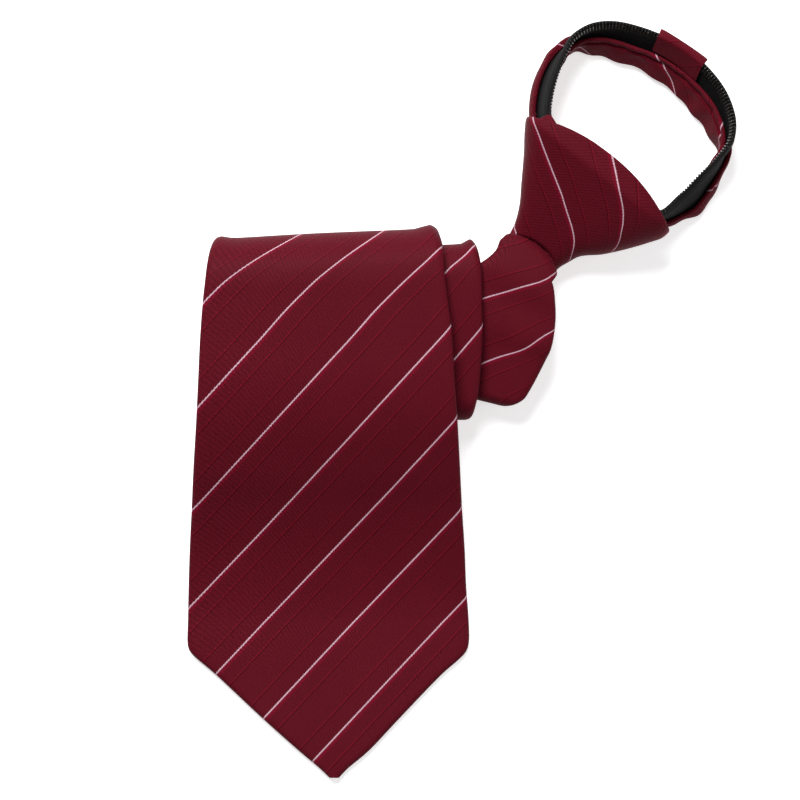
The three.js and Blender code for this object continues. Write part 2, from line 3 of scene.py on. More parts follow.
import bpy
import numpy as np
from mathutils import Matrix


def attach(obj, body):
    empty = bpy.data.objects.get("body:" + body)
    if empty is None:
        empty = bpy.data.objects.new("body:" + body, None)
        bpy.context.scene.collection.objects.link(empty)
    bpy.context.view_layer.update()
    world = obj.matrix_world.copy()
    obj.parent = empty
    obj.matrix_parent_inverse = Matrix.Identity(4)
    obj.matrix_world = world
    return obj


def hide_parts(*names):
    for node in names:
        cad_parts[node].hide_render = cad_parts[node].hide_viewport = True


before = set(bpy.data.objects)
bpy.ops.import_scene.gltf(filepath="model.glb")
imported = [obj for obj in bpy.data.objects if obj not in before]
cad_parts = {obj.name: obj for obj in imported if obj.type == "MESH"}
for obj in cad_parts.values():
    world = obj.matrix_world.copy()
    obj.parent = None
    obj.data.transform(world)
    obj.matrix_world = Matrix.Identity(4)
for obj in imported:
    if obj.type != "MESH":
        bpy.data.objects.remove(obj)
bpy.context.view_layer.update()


# Blade. A strip of striped silk twill on the bias, folded to its back over a woollen interlining and
# slip-stitched down the middle of the back. It leaves the knot through a pleat, is wound in a flat spiral,
# and its pointed end lies out in front. Sizes are in millimetres until a mesh is made.
MM = 0.001
ORIGIN = np.array([-0.33, 45.30, 0.0])
BLADE_WIDTH = 80.5
CLOTH = 2.8
NECK_CLOTH = 2.2
ROLL_LENGTH = 51.0
FRONT_LENGTH = 154.3
CLEARANCE = 0.3
TABLE_GAP = 0.02
TO_MIDDLE = 45.6  # from the roll's top down to the middle line of the picture
FOLD_STEPS = 8
UNDER_2 = CLOTH / 2
UNDER_3 = UNDER_2 + CLOTH + 0.7
LAYER_3 = UNDER_3 + 10.2
LAYER_2 = LAYER_3 + CLOTH + 1.7
FRONT = LAYER_2 + CLOTH + 1.7
SAG = 4.0

# The knot's own frame: s runs up its axis from the foot, and t runs across to its right.
KNOT_PLACE = (20.7, -3.45)
KNOT_TURN = math.radians(38.9)
KNOT_FOOT_WIDTH = 17.2
KNOT_FOOT_DEPTH = 10.4

# The stripes: how often they come, and how they run on the front of the blade.
STRIPE_PERIOD = 18.66
STRIPE_TURN = math.radians(46.9)
ACROSS_STRIPE = np.array([math.sin(STRIPE_TURN), -math.cos(STRIPE_TURN)])
ALONG_STRIPE = np.array([math.cos(STRIPE_TURN), math.sin(STRIPE_TURN)])


def in_knot(s, t, z):
    axis = math.sin(KNOT_TURN), math.cos(KNOT_TURN)
    x = KNOT_PLACE[0] + s * axis[0] + t * axis[1]
    y = KNOT_PLACE[1] + s * axis[1] - t * axis[0]
    return np.stack(np.broadcast_arrays(x, y, z), axis=-1).astype(float)


def swell(x, middle, width):
    """A smooth swell that is 1 at its middle and fades out over its width on both sides."""
    return np.exp(-(((x - middle) / width) ** 2))


def steps_along(points):
    """The length of each step along a line of points."""
    return np.linalg.norm(np.diff(points, axis=0), axis=-1)


def through(points, places):
    """Points at places, counted in rows, on a smooth centripetal curve through the given points."""
    points = np.asarray(points, float)
    places = np.asarray(places, float)
    p = np.vstack([2 * points[:1] - points[1:2], points, 2 * points[-1:] - points[-2:-1]])
    step = np.maximum(steps_along(p) ** 0.5, 1e-4)
    i = np.clip(np.floor(places).astype(int), 0, len(points) - 2)
    t = (places - i)[:, None]
    a, b, c, d = p[i], p[i + 1], p[i + 2], p[i + 3]
    da, db, dc = step[i][:, None], step[i + 1][:, None], step[i + 2][:, None]
    start = ((b - a) / da - (c - a) / (da + db) + (c - b) / db) * db
    end = ((c - b) / db - (d - b) / (db + dc) + (d - c) / dc) * db
    bend = 3 * (c - b) - 2 * start - end
    return b + t * (start + t * (bend + t * (2 * (b - c) + start + end)))


def far_along(points):
    """How far along a line of points each of them lies."""
    return np.concatenate([[0], np.cumsum(steps_along(points))])


def row(left, right, bow=0.0, crown=0.0, cloth=CLOTH, layer=None):
    """A level line across a strip. Its middle may bow forward or up. layer is the one that shows there."""
    left, right = np.array(left, float), np.array(right, float)
    across = (right - left) / np.linalg.norm(right - left)
    middle = (left + right) / 2 + np.array([-across[1] * bow, across[0] * bow, crown])
    return {"left": left, "right": right, "middle": middle, "cloth": cloth, "layer": layer}


def fold(start, end, outward, pinch=(0, 0), layer=None, **options):
    """Rows round half a turn. outward is -1 for a fold at the bottom, 1 for one at the top. pinch is how
    far the outermost row is drawn in at the left and at the right. layer shows on the upper half."""
    made = []
    rises = end["left"][2] > start["left"][2]
    radius = abs(end["left"][2] - start["left"][2]) / 2
    for i in range(FOLD_STEPS + 1):
        share = i / FOLD_STEPS
        turn = math.pi * share
        left = start["left"] * (1 - share) + end["left"] * share
        right = start["right"] * (1 - share) + end["right"] * share
        across = (right - left) * [1, 1, 0]
        across /= np.linalg.norm(across)
        reach = outward * radius * math.sin(turn)
        left += across * pinch[0] * math.sin(turn) ** 3
        right -= across * pinch[1] * math.sin(turn) ** 3
        for corner, key in ((left, "left"), (right, "right")):
            corner[:2] += np.array([-across[1], across[0]]) * reach
            low, high = start[key][2], end[key][2]
            corner[2] = low + (high - low) * (1 - math.cos(turn)) / 2
        shows = share >= 0.5 if rises else share <= 0.5
        made.append(row(left, right, layer=layer if shows else None, **options))
    return made


def knot_row(along, to_left, to_right, z, **options):
    half = KNOT_FOOT_WIDTH / 2
    s = along * KNOT_FOOT_WIDTH
    return row(in_knot(s, -to_left * half, z), in_knot(s, to_right * half, z), **options)


def roll_row(left_x, left_y, right_x, right_y, z, **options):
    left = [left_x * BLADE_WIDTH, -left_y * ROLL_LENGTH, z]
    return row(left, [right_x * BLADE_WIDTH, -right_y * ROLL_LENGTH, z], **options)


def front_row(left_x, left_y, right_x, right_y, height):
    z = UNDER_2 + (FRONT - UNDER_2) * height
    left = [left_x * BLADE_WIDTH, -left_y * FRONT_LENGTH, z]
    return row(left, [right_x * BLADE_WIDTH, -right_y * FRONT_LENGTH, z], layer="front")


# The front's rows, as shares: left end across and down, right end across and down, height off the table.
# The last seven are the point.
FRONT_SHARES = [
    (-0.918, 0.114, -0.051, 0.108, 1),
    (-0.927, 0.176, -0.036, 0.172, 0.991),
    (-0.935, 0.263, -0.026, 0.26, 0.96),
    (-0.942, 0.334, -0.016, 0.335, 0.855),
    (-0.953, 0.424, -0.007, 0.419, 0.621),
    (-0.96, 0.496, 0, 0.492, 0.379),
    (-0.968, 0.574, 0.01, 0.572, 0.167),
    (-0.973, 0.652, 0.016, 0.646, 0.04),
    (-0.975, 0.704, 0.024, 0.701, 0),
    (-0.975, 0.754, 0.025, 0.747, 0),
    (-0.964, 0.766, 0.015, 0.764, 0),
    (-0.875, 0.807, -0.075, 0.808, 0),
    (-0.707, 0.889, -0.224, 0.889, 0),
    (-0.58, 0.948, -0.335, 0.95, 0),
    (-0.503, 0.982, -0.408, 0.982, 0),
    (-0.471, 0.998, -0.437, 0.998, 0),
]


def blade_rows():
    mouth = KNOT_FOOT_DEPTH * 0.63
    tuck_low = KNOT_FOOT_DEPTH + NECK_CLOTH / 2 + 4 * CLEARANCE
    tuck_high = tuck_low + NECK_CLOTH * 1.7
    neck = {"cloth": NECK_CLOTH}
    rows = [
        knot_row(0.7, 0.76, 0.64, mouth + 0.16 * KNOT_FOOT_DEPTH, **neck),
        knot_row(0.35, 0.72, 0.6, mouth + 0.06 * KNOT_FOOT_DEPTH, **neck),
        knot_row(0.03, 0.67, 0.54, mouth, **neck),
    ]
    # The pleat outside the foot: the cloth turns up and back, lies over the foot, and turns again.
    rows += fold(knot_row(-0.17, 0.84, 0.78, mouth), knot_row(-0.17, 0.95, 0.9, tuck_low), -1, **neck)
    above = knot_row(-0.21, 1.0, 1.02, tuck_low), knot_row(-0.21, 1.14, 1.08, tuck_high)
    rows += fold(*above, 1, bow=0.155 * KNOT_FOOT_WIDTH, layer="third", **neck)
    third = {"layer": "third"}
    rows += [
        roll_row(0.12, 0.057, 0.324, 0.269, tuck_high, bow=1.2, crown=0.84, cloth=NECK_CLOTH, **third),
        roll_row(0.066, 0.129, 0.33, 0.343, tuck_high, bow=0.69, crown=0.84, **third),
        roll_row(-0.037, 0.198, 0.332, 0.447, LAYER_3 + 0.41, bow=0.34, crown=0.56, **third),
        roll_row(-0.124, 0.306, 0.318, 0.6, LAYER_3, crown=0.28, **third),
        roll_row(-0.211, 0.453, 0.296, 0.678, LAYER_3 - 0.4 * SAG, **third),
    ]
    # What the sag takes from a lower fold's height, it gains in length.
    longer = (SAG / 2 + 1.4) / ROLL_LENGTH
    rows += fold(
        roll_row(-0.311, 0.61 + longer, 0.222, 0.823 + longer, LAYER_3 - SAG),
        roll_row(-0.373, 0.648, 0.155, 0.824, UNDER_3),
        -1,
        pinch=(0, 1.6),
        layer="third",
    )
    rows.append(roll_row(-0.509, 0.404, 0.112, 0.502, UNDER_3))
    rows += fold(
        roll_row(-0.646, 0.235, 0.056, 0.19, UNDER_3),
        roll_row(-0.658, 0.235, 0.07, 0.19, LAYER_2),
        1,
        pinch=(0, 0.6),
        layer="second",
    )
    rows += [
        roll_row(-0.652, 0.365, 0.072, 0.345, LAYER_2 - 0.05 * SAG, layer="second"),
        roll_row(-0.646, 0.561, 0.073, 0.561, LAYER_2 - 0.4 * SAG, layer="second"),
    ]
    rows += fold(
        roll_row(-0.652, 0.796 + longer, 0.058, 0.796 + longer, LAYER_2 - SAG),
        roll_row(-0.708, 0.824, 0.002, 0.824, UNDER_2),
        -1,
        layer="second",
    )
    rows.append(roll_row(-0.783, 0.522, -0.031, 0.502, UNDER_2))
    rows += fold(
        roll_row(-0.845, 0.243, -0.056, 0.18, UNDER_2),
        roll_row(-0.911, 0.243, -0.062, 0.18, FRONT),
        1,
        pinch=(0.5, 1.4),
        layer="front",
    )
    rows += [front_row(*shares) for shares in FRONT_SHARES]
    return rows


def stripes_there(layer, point):
    """How far across the stripes the cloth is at a point where a layer shows. White lines are at nought."""
    x, y = point[0], point[1] + TO_MIDDLE
    if layer == "front":
        return ACROSS_STRIPE @ [x, y] + 16.45
    if layer == "second":
        return ACROSS_STRIPE @ [x, y] + 9.75 + 0.07 * x
    # The two white lines seen on the third layer aren't parallel. The cloth between them is shared out.
    first = 29.0 + 0.308 * (x - 6)
    second = 10.5 + 0.455 * (x - 5.9)
    return STRIPE_PERIOD * (first - y) / (first - second)


def stripe_lines(rows, places, at):
    """For a strip's two edges and its middle, how far its cloth is across the stripes and along them.
    Where a layer shows, that is as seen, and between such layers the cloth's own length sets it."""
    before = [rows[int(math.floor(p + 1e-9))]["layer"] for p in places]
    after = [rows[int(math.ceil(p - 1e-9))]["layer"] for p in places]
    known = [i for i, layer in enumerate(before) if layer and layer == after[i]]
    made, turns = [], {}
    for side, key in ((-1, "left"), (0, "middle"), (1, "right")):
        length = far_along(at[key])
        length -= length[-1]
        flat = np.stack([np.full_like(length, side * BLADE_WIDTH / 2), -length])
        natural = ACROSS_STRIPE @ flat
        shift = np.zeros(len(places))
        last = stripes_there("front", at[key][-1]) - natural[-1]
        for i in reversed(known):
            seen = stripes_there(before[i], at[key][i]) - natural[i]
            if side < 0:
                turns[i] = STRIPE_PERIOD * round((last - seen) / STRIPE_PERIOD)
            shift[i] = last = seen + turns[i]
        shift = np.interp(length, length[known], shift[known])
        made.append(np.stack([natural + shift, ALONG_STRIPE @ flat], axis=-1))
    return made


def strip_rim(width, cloth):
    """The rounded edge of a folded strip: shares of the half width from the edge, and of the thickness."""
    reach = min(0.9 * cloth, 0.3 * width) / (width / 2)
    turn = np.linspace(0, math.pi / 2, 8)
    return reach * (1 - np.cos(turn) ** 0.85), np.sin(turn) ** 0.85


def strip_section(width, cloth, flat=26):
    """Places round a strip, from the seam in the middle of its back, as shares across and of thickness."""
    away, high = strip_rim(width, cloth)
    rim = np.stack([away - 1, high], axis=-1)
    inner = np.linspace(rim[-1, 0], -rim[-1, 0], flat + 2)[1:-1]
    top = np.vstack([rim, np.stack([inner, np.ones_like(inner)], axis=-1), rim[::-1] * [-1, 1]])
    under = top[1:-1][::-1] * [1, -1]
    half = len(under) // 2
    return np.vstack([under[half:], top, under[:half]])


def strip_rings(rows, spacing=1.3, relief=None):
    """Rings of points along a padded strip, its stations' places in rows, the strip's width at each, and
    its left, right and middle lines there.
    """
    lines = {key: np.array([r[key] for r in rows]) for key in ("left", "right", "middle")}
    edge_gaps = np.maximum(steps_along(lines["left"]), steps_along(lines["right"]))
    gaps = np.maximum(steps_along(lines["middle"]), edge_gaps * 0.7)
    places = [i + k / n for i, n in enumerate(np.ceil(gaps / spacing).astype(int)) for k in range(n)]
    places = np.array(places + [len(rows) - 1.0])
    cloth = np.interp(places, np.arange(len(rows)), [r["cloth"] for r in rows])
    at = {key: through(points, places) for key, points in lines.items()}
    for points in at.values():
        points[:, 2] = np.maximum(points[:, 2], cloth / 2)
    width = np.linalg.norm(at["right"] - at["left"], axis=1)
    shares = np.array([strip_section(w, c) for w, c in zip(width, cloth)])

    def centre(u):
        straight = at["left"][:, None] * (1 - u[..., None]) + at["right"][:, None] * (1 + u[..., None])
        lifted = (at["middle"] - (at["left"] + at["right"]) / 2)[:, None]
        return straight / 2 + lifted * (1 - u[..., None] ** 2)

    u, v = shares[..., 0], shares[..., 1]
    middle = centre(u)
    heading = np.gradient(middle, axis=0)
    across = centre(np.minimum(u + 0.1, 1)) - centre(np.maximum(u - 0.1, -1))
    normal = np.cross(heading, across)
    normal /= np.linalg.norm(normal, axis=-1, keepdims=True)
    thick = v * cloth[:, None] / 2
    if relief is not None:
        thick = relief(middle, u, v, thick, width, places)
    return middle + normal * thick[..., None], places, width, at


def round_a_ring(rings, start):
    """How far round each ring its points are, from the point in column start, with the seam twice."""
    closed = np.concatenate([rings, rings[:, :1]], axis=1)
    steps = np.linalg.norm(np.diff(closed, axis=1), axis=-1)
    far = np.concatenate([np.zeros((len(rings), 1)), np.cumsum(steps, axis=1)], axis=1)
    return far - (far[:, start] + far[:, start - 1])[:, None] / 2


def put(name, data):
    """Puts an object into the scene."""
    made = bpy.data.objects.new(name, data)
    bpy.context.scene.collection.objects.link(made)
    return made


def skin(name, material, rings, cut, looped=False):
    """A closed mesh over rings of points, with its cloth's place across and along the stripes as its UV.
    What would reach below the table is pressed flat on it."""
    rings = np.concatenate([rings[..., :2], np.maximum(rings[..., 2:], TABLE_GAP)], axis=-1)
    count, around = rings.shape[:2]
    last = count if looped else count - 1
    i, j = np.meshgrid(np.arange(last), np.arange(around), indexing="ij")
    here, after = i * around, (i + 1) % count * around
    k = (j + 1) % around
    quads = np.stack([here + j, after + j, after + k, here + k], axis=-1).reshape(-1, 4)
    nexts = (i + 1) % len(cut)
    corners = [cut[i, j], cut[nexts, j], cut[nexts, j + 1], cut[i, j + 1]]
    corners = np.stack(corners, axis=2).reshape(-1, 4, 2)
    a, b, c, d = (rings.reshape(-1, 3)[quads[:, n]] for n in range(4))
    volume = np.einsum("ij,ij->", a, np.cross(b, c)) + np.einsum("ij,ij->", a, np.cross(c, d))
    if volume < 0:
        quads, corners = quads[:, ::-1], corners[:, ::-1]
    faces = quads.tolist()
    places = corners.reshape(-1, 2)
    if not looped:
        ends = [np.arange(around), np.arange(around) + (count - 1) * around]
        for ring, side, flip in ((ends[0], 0, volume > 0), (ends[1], -1, volume < 0)):
            # A cap's own faces point away from the strip.
            faces.append((ring if flip else ring[::-1]).tolist())
            own = cut[side, :-1]
            places = np.vstack([places, own if flip else own[::-1]])
    mesh = bpy.data.meshes.new(name)
    mesh.from_pydata((rings.reshape(-1, 3) + ORIGIN) * MM, [], faces)
    layer = mesh.uv_layers.new(name="cut")
    layer.data.foreach_set("uv", (places * MM).astype(np.float32).ravel())
    mesh.shade_smooth()
    mesh.set_sharp_from_angle(angle=math.radians(55))
    mesh.materials.append(material)
    return put(name, mesh)


class Tree:
    """A node tree. Its nodes are added one by one, and linked as they are made."""

    def __init__(self, tree):
        self.tree = tree

    def add(self, kind, inputs=(), **settings):
        node = self.tree.nodes.new(kind)
        for key, value in settings.items():
            setattr(node, key, value)
        for key, value in dict(inputs).items():
            self.join(value, node.inputs[key])
        return node

    def join(self, value, socket):
        if isinstance(value, bpy.types.NodeSocket):
            self.tree.links.new(value, socket)
        else:
            socket.default_value = value

    def math(self, operation, a, b=0.0, c=0.0):
        return self.add("ShaderNodeMath", {0: a, 1: b, 2: c}, operation=operation).outputs[0]


class Finish(Tree):
    """A material's nodes."""

    def __init__(self, name):
        self.material = bpy.data.materials.new(name)
        self.material.use_nodes = True
        super().__init__(self.material.node_tree)
        self.shader = self.tree.nodes["Principled BSDF"]

    def noise(self, where, scale, detail):
        sizes = {"Vector": where, "Scale": scale, "Detail": detail}
        return self.add("ShaderNodeTexNoise", sizes).outputs[0]

    def ramp(self, value, stops):
        node = self.add("ShaderNodeValToRGB", {0: value})
        stops = sorted(stops)
        for place, colour in stops[2:]:
            node.color_ramp.elements.new(place)
        for element, (place, colour) in zip(node.color_ramp.elements, stops):
            element.position = place
            element.color = (*colour, 1)
        return node.outputs[0]

    def cloth(self):
        """The cloth's place across and along, in millimetres, and both as one vector."""
        cut = self.add("ShaderNodeUVMap", uv_map="cut").outputs[0]
        place = self.add("ShaderNodeSeparateXYZ", {0: cut}).outputs
        across, along = (self.math("MULTIPLY", place[axis], 1 / MM) for axis in (0, 1))
        both = self.add("ShaderNodeCombineXYZ", {0: across, 1: along, 2: 0.0})
        return across, along, both.outputs[0]

    def done(self, colour, roughness, bump=None, **levels):
        """Joins up the shader. bump is its strength, its distance and its height."""
        levels.update(Base_Color=colour, Roughness=roughness)
        if bump:
            bump = self.add("ShaderNodeBump", zip(("Strength", "Distance", "Height"), bump))
            levels["Normal"] = bump.outputs[0]
        for label, value in levels.items():
            self.join(value, self.shader.inputs[label.replace("_", " ")])
        return self.material


TWILL_PITCH = 0.86


def striped_silk(name, base):
    """Silk twill. Each repeat has a white line, a brighter band beside it and two thin lines."""
    n = Finish(name)
    across, along, threads = n.cloth()

    # Twill: fine ridges at a steep angle to the stripes, uneven as woven yarn is.
    uneven = n.noise(threads, 0.9, 2.0)
    ridge = n.math("MULTIPLY", along, 0.95 / TWILL_PITCH)
    ridge = n.math("MULTIPLY_ADD", across, 0.31 / TWILL_PITCH, ridge)
    ridge = n.math("MULTIPLY_ADD", uneven, 0.9, ridge)
    ridge = n.math("SINE", n.math("MULTIPLY", ridge, 2 * math.pi))
    pick = n.math("MULTIPLY_ADD", uneven, 2.0, n.math("DIVIDE", across, 0.8))
    pick = n.math("SINE", n.math("MULTIPLY", pick, 2 * math.pi))
    fine = n.noise(threads, 2.6, 3.0)
    slubs = n.noise(threads, 0.045, 2.0)

    # The white yarn floats over the ridges, so its line is stepped.
    step = n.math("FRACT", n.math("MULTIPLY_ADD", across, 0.45, n.math("DIVIDE", along, 0.78)))
    stepped = n.math("MULTIPLY_ADD", step, 0.16, across)
    above_nought = n.math("ADD", stepped, 200 * STRIPE_PERIOD)
    repeat = n.math("FRACT", n.math("DIVIDE", above_nought, STRIPE_PERIOD))
    mm = 1 / STRIPE_PERIOD
    white, bright, thin = (0.50, 0.32, 0.38), (0.126, 0.0035, 0.0135), (0.130, 0.0045, 0.0130)
    stops = [(0.0, white), (0.24 * mm, white), (0.4 * mm, bright), (1.15 * mm, bright), (1.5 * mm, base)]
    shade = tuple(0.45 * part for part in base)
    line = (-0.22, base), (-0.14, thin), (0.10, thin), (0.18, shade), (0.36, shade), (0.46, base)
    for middle in (5.1, 13.7):
        stops += [((middle + off) * mm, tone) for off, tone in line]
    stops += [(1 - 0.1 * mm, base), (1.0, white)]
    colour = n.ramp(repeat, stops)

    mottle = n.math("MULTIPLY_ADD", fine, 1.15, 0.45)
    patchy = n.math("MULTIPLY", ridge, n.math("MULTIPLY_ADD", uneven, 1.1, -0.35))
    mottle = n.math("MULTIPLY_ADD", patchy, 0.6, mottle)
    mottle = n.math("MULTIPLY_ADD", n.math("MULTIPLY", pick, ridge), 0.06, mottle)
    mottle = n.math("MULTIPLY_ADD", slubs, 0.2, n.math("SUBTRACT", mottle, 0.1))
    scaled = n.add("ShaderNodeVectorMath", {0: colour, "Scale": mottle}, operation="SCALE").outputs[0]
    height = n.math("MULTIPLY_ADD", fine, 0.7, n.math("MULTIPLY", ridge, 0.35))
    sheen = {"Sheen_Weight": 0.01, "Sheen_Roughness": 0.35, "Sheen_Tint": (1.0, 0.45, 0.5, 1)}
    roughness = n.math("MULTIPLY_ADD", fine, 0.16, 0.48)
    return n.done(scaled, roughness, (0.5, 0.00006, height), Specular_IOR_Level=0.03, **sheen)


silk = striped_silk("striped_silk", base=(0.080, 0.0045, 0.0100))


rows = blade_rows()
shown = {"third": [], "second": [], "front": [], None: []}
for number, each in enumerate(rows):
    shown[each["layer"]].append(number)
# The second layer and the front show from the crest of the fold that they begin with.
second_fold, front_fold = (shown[name][0] - FOLD_STEPS // 2 for name in ("second", "front"))


def blade_relief(middle, u, v, thick, width, places):
    """Soft life in the cloth: a slow wave over its face, the lap of the seam behind, and raised corners."""
    x, y = middle[..., 0], middle[..., 1]
    wave = 0.10 * np.sin(x / 9.0 + y / 23.0) + 0.08 * np.sin(y / 13.0 - x / 31.0 + 1.0)
    face = np.clip(v, 0, 1) * wave * (1 - np.abs(u) ** 6)
    across = u * width[:, None] / 2
    seam = 1.2
    lap = 0.45 * np.clip(-v, 0, 1) * np.where(across < seam, np.exp(-(seam - across).clip(0) / 7.0), 0)
    # The corners of the two folds at the top stand up a little.
    from_edge = width[:, None] / 2 - np.abs(across)
    at_top = np.clip((y + TO_MIDDLE - 38.0) / 8.0, 0, 1) * np.clip(v, 0, 1)
    on_front = (places > front_fold)[:, None]
    on_second = ((places > second_fold) & (places < second_fold + FOLD_STEPS + 1))[:, None]
    corners = np.where(u > 0, 1.0 * swell(from_edge, 2.8, 2.4), 0.8 * swell(from_edge, 1.7, 2.4)) * on_front
    corners += np.where(u > 0, 2.1 * swell(from_edge, 1.7, 1.6), 0) * on_second
    return thick + face + lap * (width[:, None] > 20) + corners * at_top


def lean(middle, places):
    """How far the stripes lie off their straight lines: they lean over where they go round the two folds
    at the top, and hang a little on the third layer."""
    x, y = middle[..., 0], middle[..., 1] + TO_MIDDLE
    front = 0.35 * swell(y, 25.5, 6.0) - (0.0085 - 0.00044 * x) * np.clip(y - 31.0, 0, None) ** 2
    second = -0.4 * np.clip(y - 37.3, 0, None)
    third = -1.3 * swell(x, 17.5, 6.5) * swell(y, 14.0, 6.0)
    third -= 0.6 * swell(x, 22.0, 4.0) * swell(y, 34.5, 4.0)
    on_second = (places > second_fold) & (places < shown["second"][-1])
    made = front * (places > front_fold)[:, None] + second * on_second[:, None]
    return made + third * (places < shown["third"][-1])[:, None]


blade_points, blade_places, blade_widths, blade_edges = strip_rings(rows, relief=blade_relief)
at_left, at_middle, at_right = stripe_lines(rows, blade_places, blade_edges)
face_middle = blade_points.shape[1] // 2
off_middle = round_a_ring(blade_points, face_middle)
turned = (at_right - at_left) / blade_widths[:, None]
off_share = np.clip(off_middle / (blade_widths[:, None] / 2), -1, 1)[..., None]
blade_cut = (at_left + at_right)[:, None] / 2 + off_middle[..., None] * turned[:, None]
blade_cut += (at_middle - (at_left + at_right) / 2)[:, None] * (1 - off_share**2)
blade_cut[..., 0] += lean(np.append(blade_points, blade_points[:, :1], axis=1), blade_places)
blade = skin("silk_blade", silk, blade_points, blade_cut)
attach(blade, "root")
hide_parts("blade")


# Knot. A sleeve of the same silk over stiff interlining, pressed into a four-in-hand shape and sewn shut
# behind. Its front arches over the neck band, and it is open at its foot and at its top.
KNOT_LENGTH = 28.5
KNOT_BULGE = 6.0
KNOT_TOP_WIDTH = 52.0
KNOT_TOP_DEPTH = 26.6
KNOT_BACK_LENGTH = 21.0
KNOT_WALL = 2.2
KNOT_EDGE_WALL = 1.2
LEFT_SQUARENESS = 4.2
RIGHT_SQUARENESS = 3.0
KNOT_STRIPE_TURN = math.radians(33.0)
LEFT_OUTLINE = [(-0.05, 0.01), (0.07, 0.04), (0.26, 0.17), (0.47, 0.4), (0.72, 0.68), (0.9, 0.9), (1, 0.99)]
RIGHT_OUTLINE = [(0, -0.02), (0.14, 0.05), (0.25, 0.13), (0.41, 0.4), (0.52, 0.55), (0.64, 0.7)]
RIGHT_OUTLINE += [(0.8, 0.88), (0.92, 1), (1.0, 1.02)]


def read_off(outline, x):
    """A smooth reading of an outline's table. It stays level beyond its ends."""
    xs, ys = np.array(outline, float).T
    slope = np.gradient(ys, xs)
    slope[0] = slope[-1] = 0
    x = np.clip(x, xs[0], xs[-1])
    i = np.clip(np.searchsorted(xs, x, side="right") - 1, 0, len(xs) - 2)
    gap = xs[i + 1] - xs[i]
    t = (x - xs[i]) / gap
    rise = ys[i + 1] - ys[i]
    a, b = slope[i] * gap, slope[i + 1] * gap
    return ys[i] + t * (a + t * (3 * rise - 2 * a - b + t * (a + b - 2 * rise)))


def knot_wall(s):
    share = np.clip(s / KNOT_LENGTH, 0, 1)
    return KNOT_WALL + (KNOT_EDGE_WALL - KNOT_WALL) * share**3


def knot_shares(phi):
    power = np.where(np.cos(phi) < 0, 2 / LEFT_SQUARENESS, 2 / RIGHT_SQUARENESS)
    x = np.sign(np.cos(phi)) * np.abs(np.cos(phi)) ** power
    z = np.sign(np.sin(phi)) * np.abs(np.sin(phi)) ** power
    return x, z


def knot_depth(s):
    rise = np.clip(s / KNOT_LENGTH, 0, 1) ** 1.1
    return (KNOT_FOOT_DEPTH + (KNOT_TOP_DEPTH - KNOT_FOOT_DEPTH) * rise) / 2


def knot_half_width(s, side):
    share = s / KNOT_LENGTH
    spread = np.where(side < 0, read_off(LEFT_OUTLINE, share), read_off(RIGHT_OUTLINE, share))
    return (KNOT_FOOT_WIDTH + (KNOT_TOP_WIDTH - KNOT_FOOT_WIDTH) * spread) / 2


def knot_across(s, phi, inset):
    """Across and height of the knot's surface, at s along its axis."""
    x, z = knot_shares(phi)
    half_depth = knot_depth(s)
    return x * (knot_half_width(s, x) - inset), half_depth + z * (half_depth - inset)


def knot_top(phi):
    x, z = knot_shares(phi)
    front = KNOT_LENGTH + KNOT_BULGE * (1 - np.abs(x) ** 2.2)
    share = np.clip((z + 0.7) / 0.7, 0, 1)
    share = share * share * (3 - 2 * share)
    return KNOT_BACK_LENGTH + (front - KNOT_BACK_LENGTH) * share


def knot_cut(s, t, z, start, white_at):
    """The knot's cloth, laid flat: along its sloping front and round its width, then across the stripes."""
    steps = np.linspace(-6, 42, 400)
    slope = np.gradient(2 * knot_depth(steps), steps)
    length = np.cumsum(np.sqrt(1 + slope**2)) * (steps[1] - steps[0])
    along = np.interp(s, steps, length) - np.interp(white_at, steps, length)
    side = np.sqrt(np.diff(t, axis=1) ** 2 + np.diff(z, axis=1) ** 2)
    far = np.concatenate([np.zeros((len(t), 1)), np.cumsum(side, axis=1)], axis=1)
    far -= far[:, start : start + 1]
    from_edge = np.maximum(knot_half_width(s, t) - np.abs(t), 0)
    # The stripes turn down along both edges, where the cloth is drawn in towards the foot.
    most = (3.0 + 0.45 * s) * np.clip((36 - s) / 16, 0, 1)
    right = -most * np.exp(-from_edge / np.maximum(1.2 + 0.33 * s, 1.2))
    left = 0.9 * np.exp(-from_edge / 4.3) * np.clip(1 - s / 14, 0, 1)
    drawn = np.where(t < 0, left, right)
    sine, cosine = math.sin(KNOT_STRIPE_TURN), math.cos(KNOT_STRIPE_TURN)
    return np.stack([sine * far - cosine * along + drawn, -cosine * far - sine * along], axis=-1)


def wall(rising, edge):
    """Up a wall's face, round its free edge and down its back: shares of its height, shares of its
    thickness, and how far its edge bulges out."""
    made = [(share, 0.0, 0.0) for share in rising]
    made += [(1.0, (1 - math.cos(a)) / 2, 0.5 * edge * math.sin(a)) for a in ROUND_EDGE]
    return made + [(share, 1.0, 0.0) for share in rising[::-1]]


WHITE_ON_KNOT = 15.2
ROUND_EDGE = np.linspace(0, math.pi, 7)[1:-1]
KNOT_AROUND = 128
KNOT_LEVELS = 64
knot_phi = np.linspace(-math.pi / 2, 1.5 * math.pi, KNOT_AROUND + 1)[None]
knot_top_s = knot_top(knot_phi)
knot_foot = -0.02 * KNOT_LENGTH
levels = wall(np.linspace(0, 1, KNOT_LEVELS + 1) ** 1.5, KNOT_EDGE_WALL)
levels += [(0.0, (1 + math.cos(a)) / 2, -0.5 * KNOT_WALL * math.sin(a)) for a in ROUND_EDGE]
shares, depths, beyond = (np.array(column)[:, None] for column in zip(*levels))
knot_s = knot_foot + (knot_top_s - knot_foot) * shares + beyond
knot_t, knot_z = knot_across(knot_s, knot_phi, depths * knot_wall(knot_s))
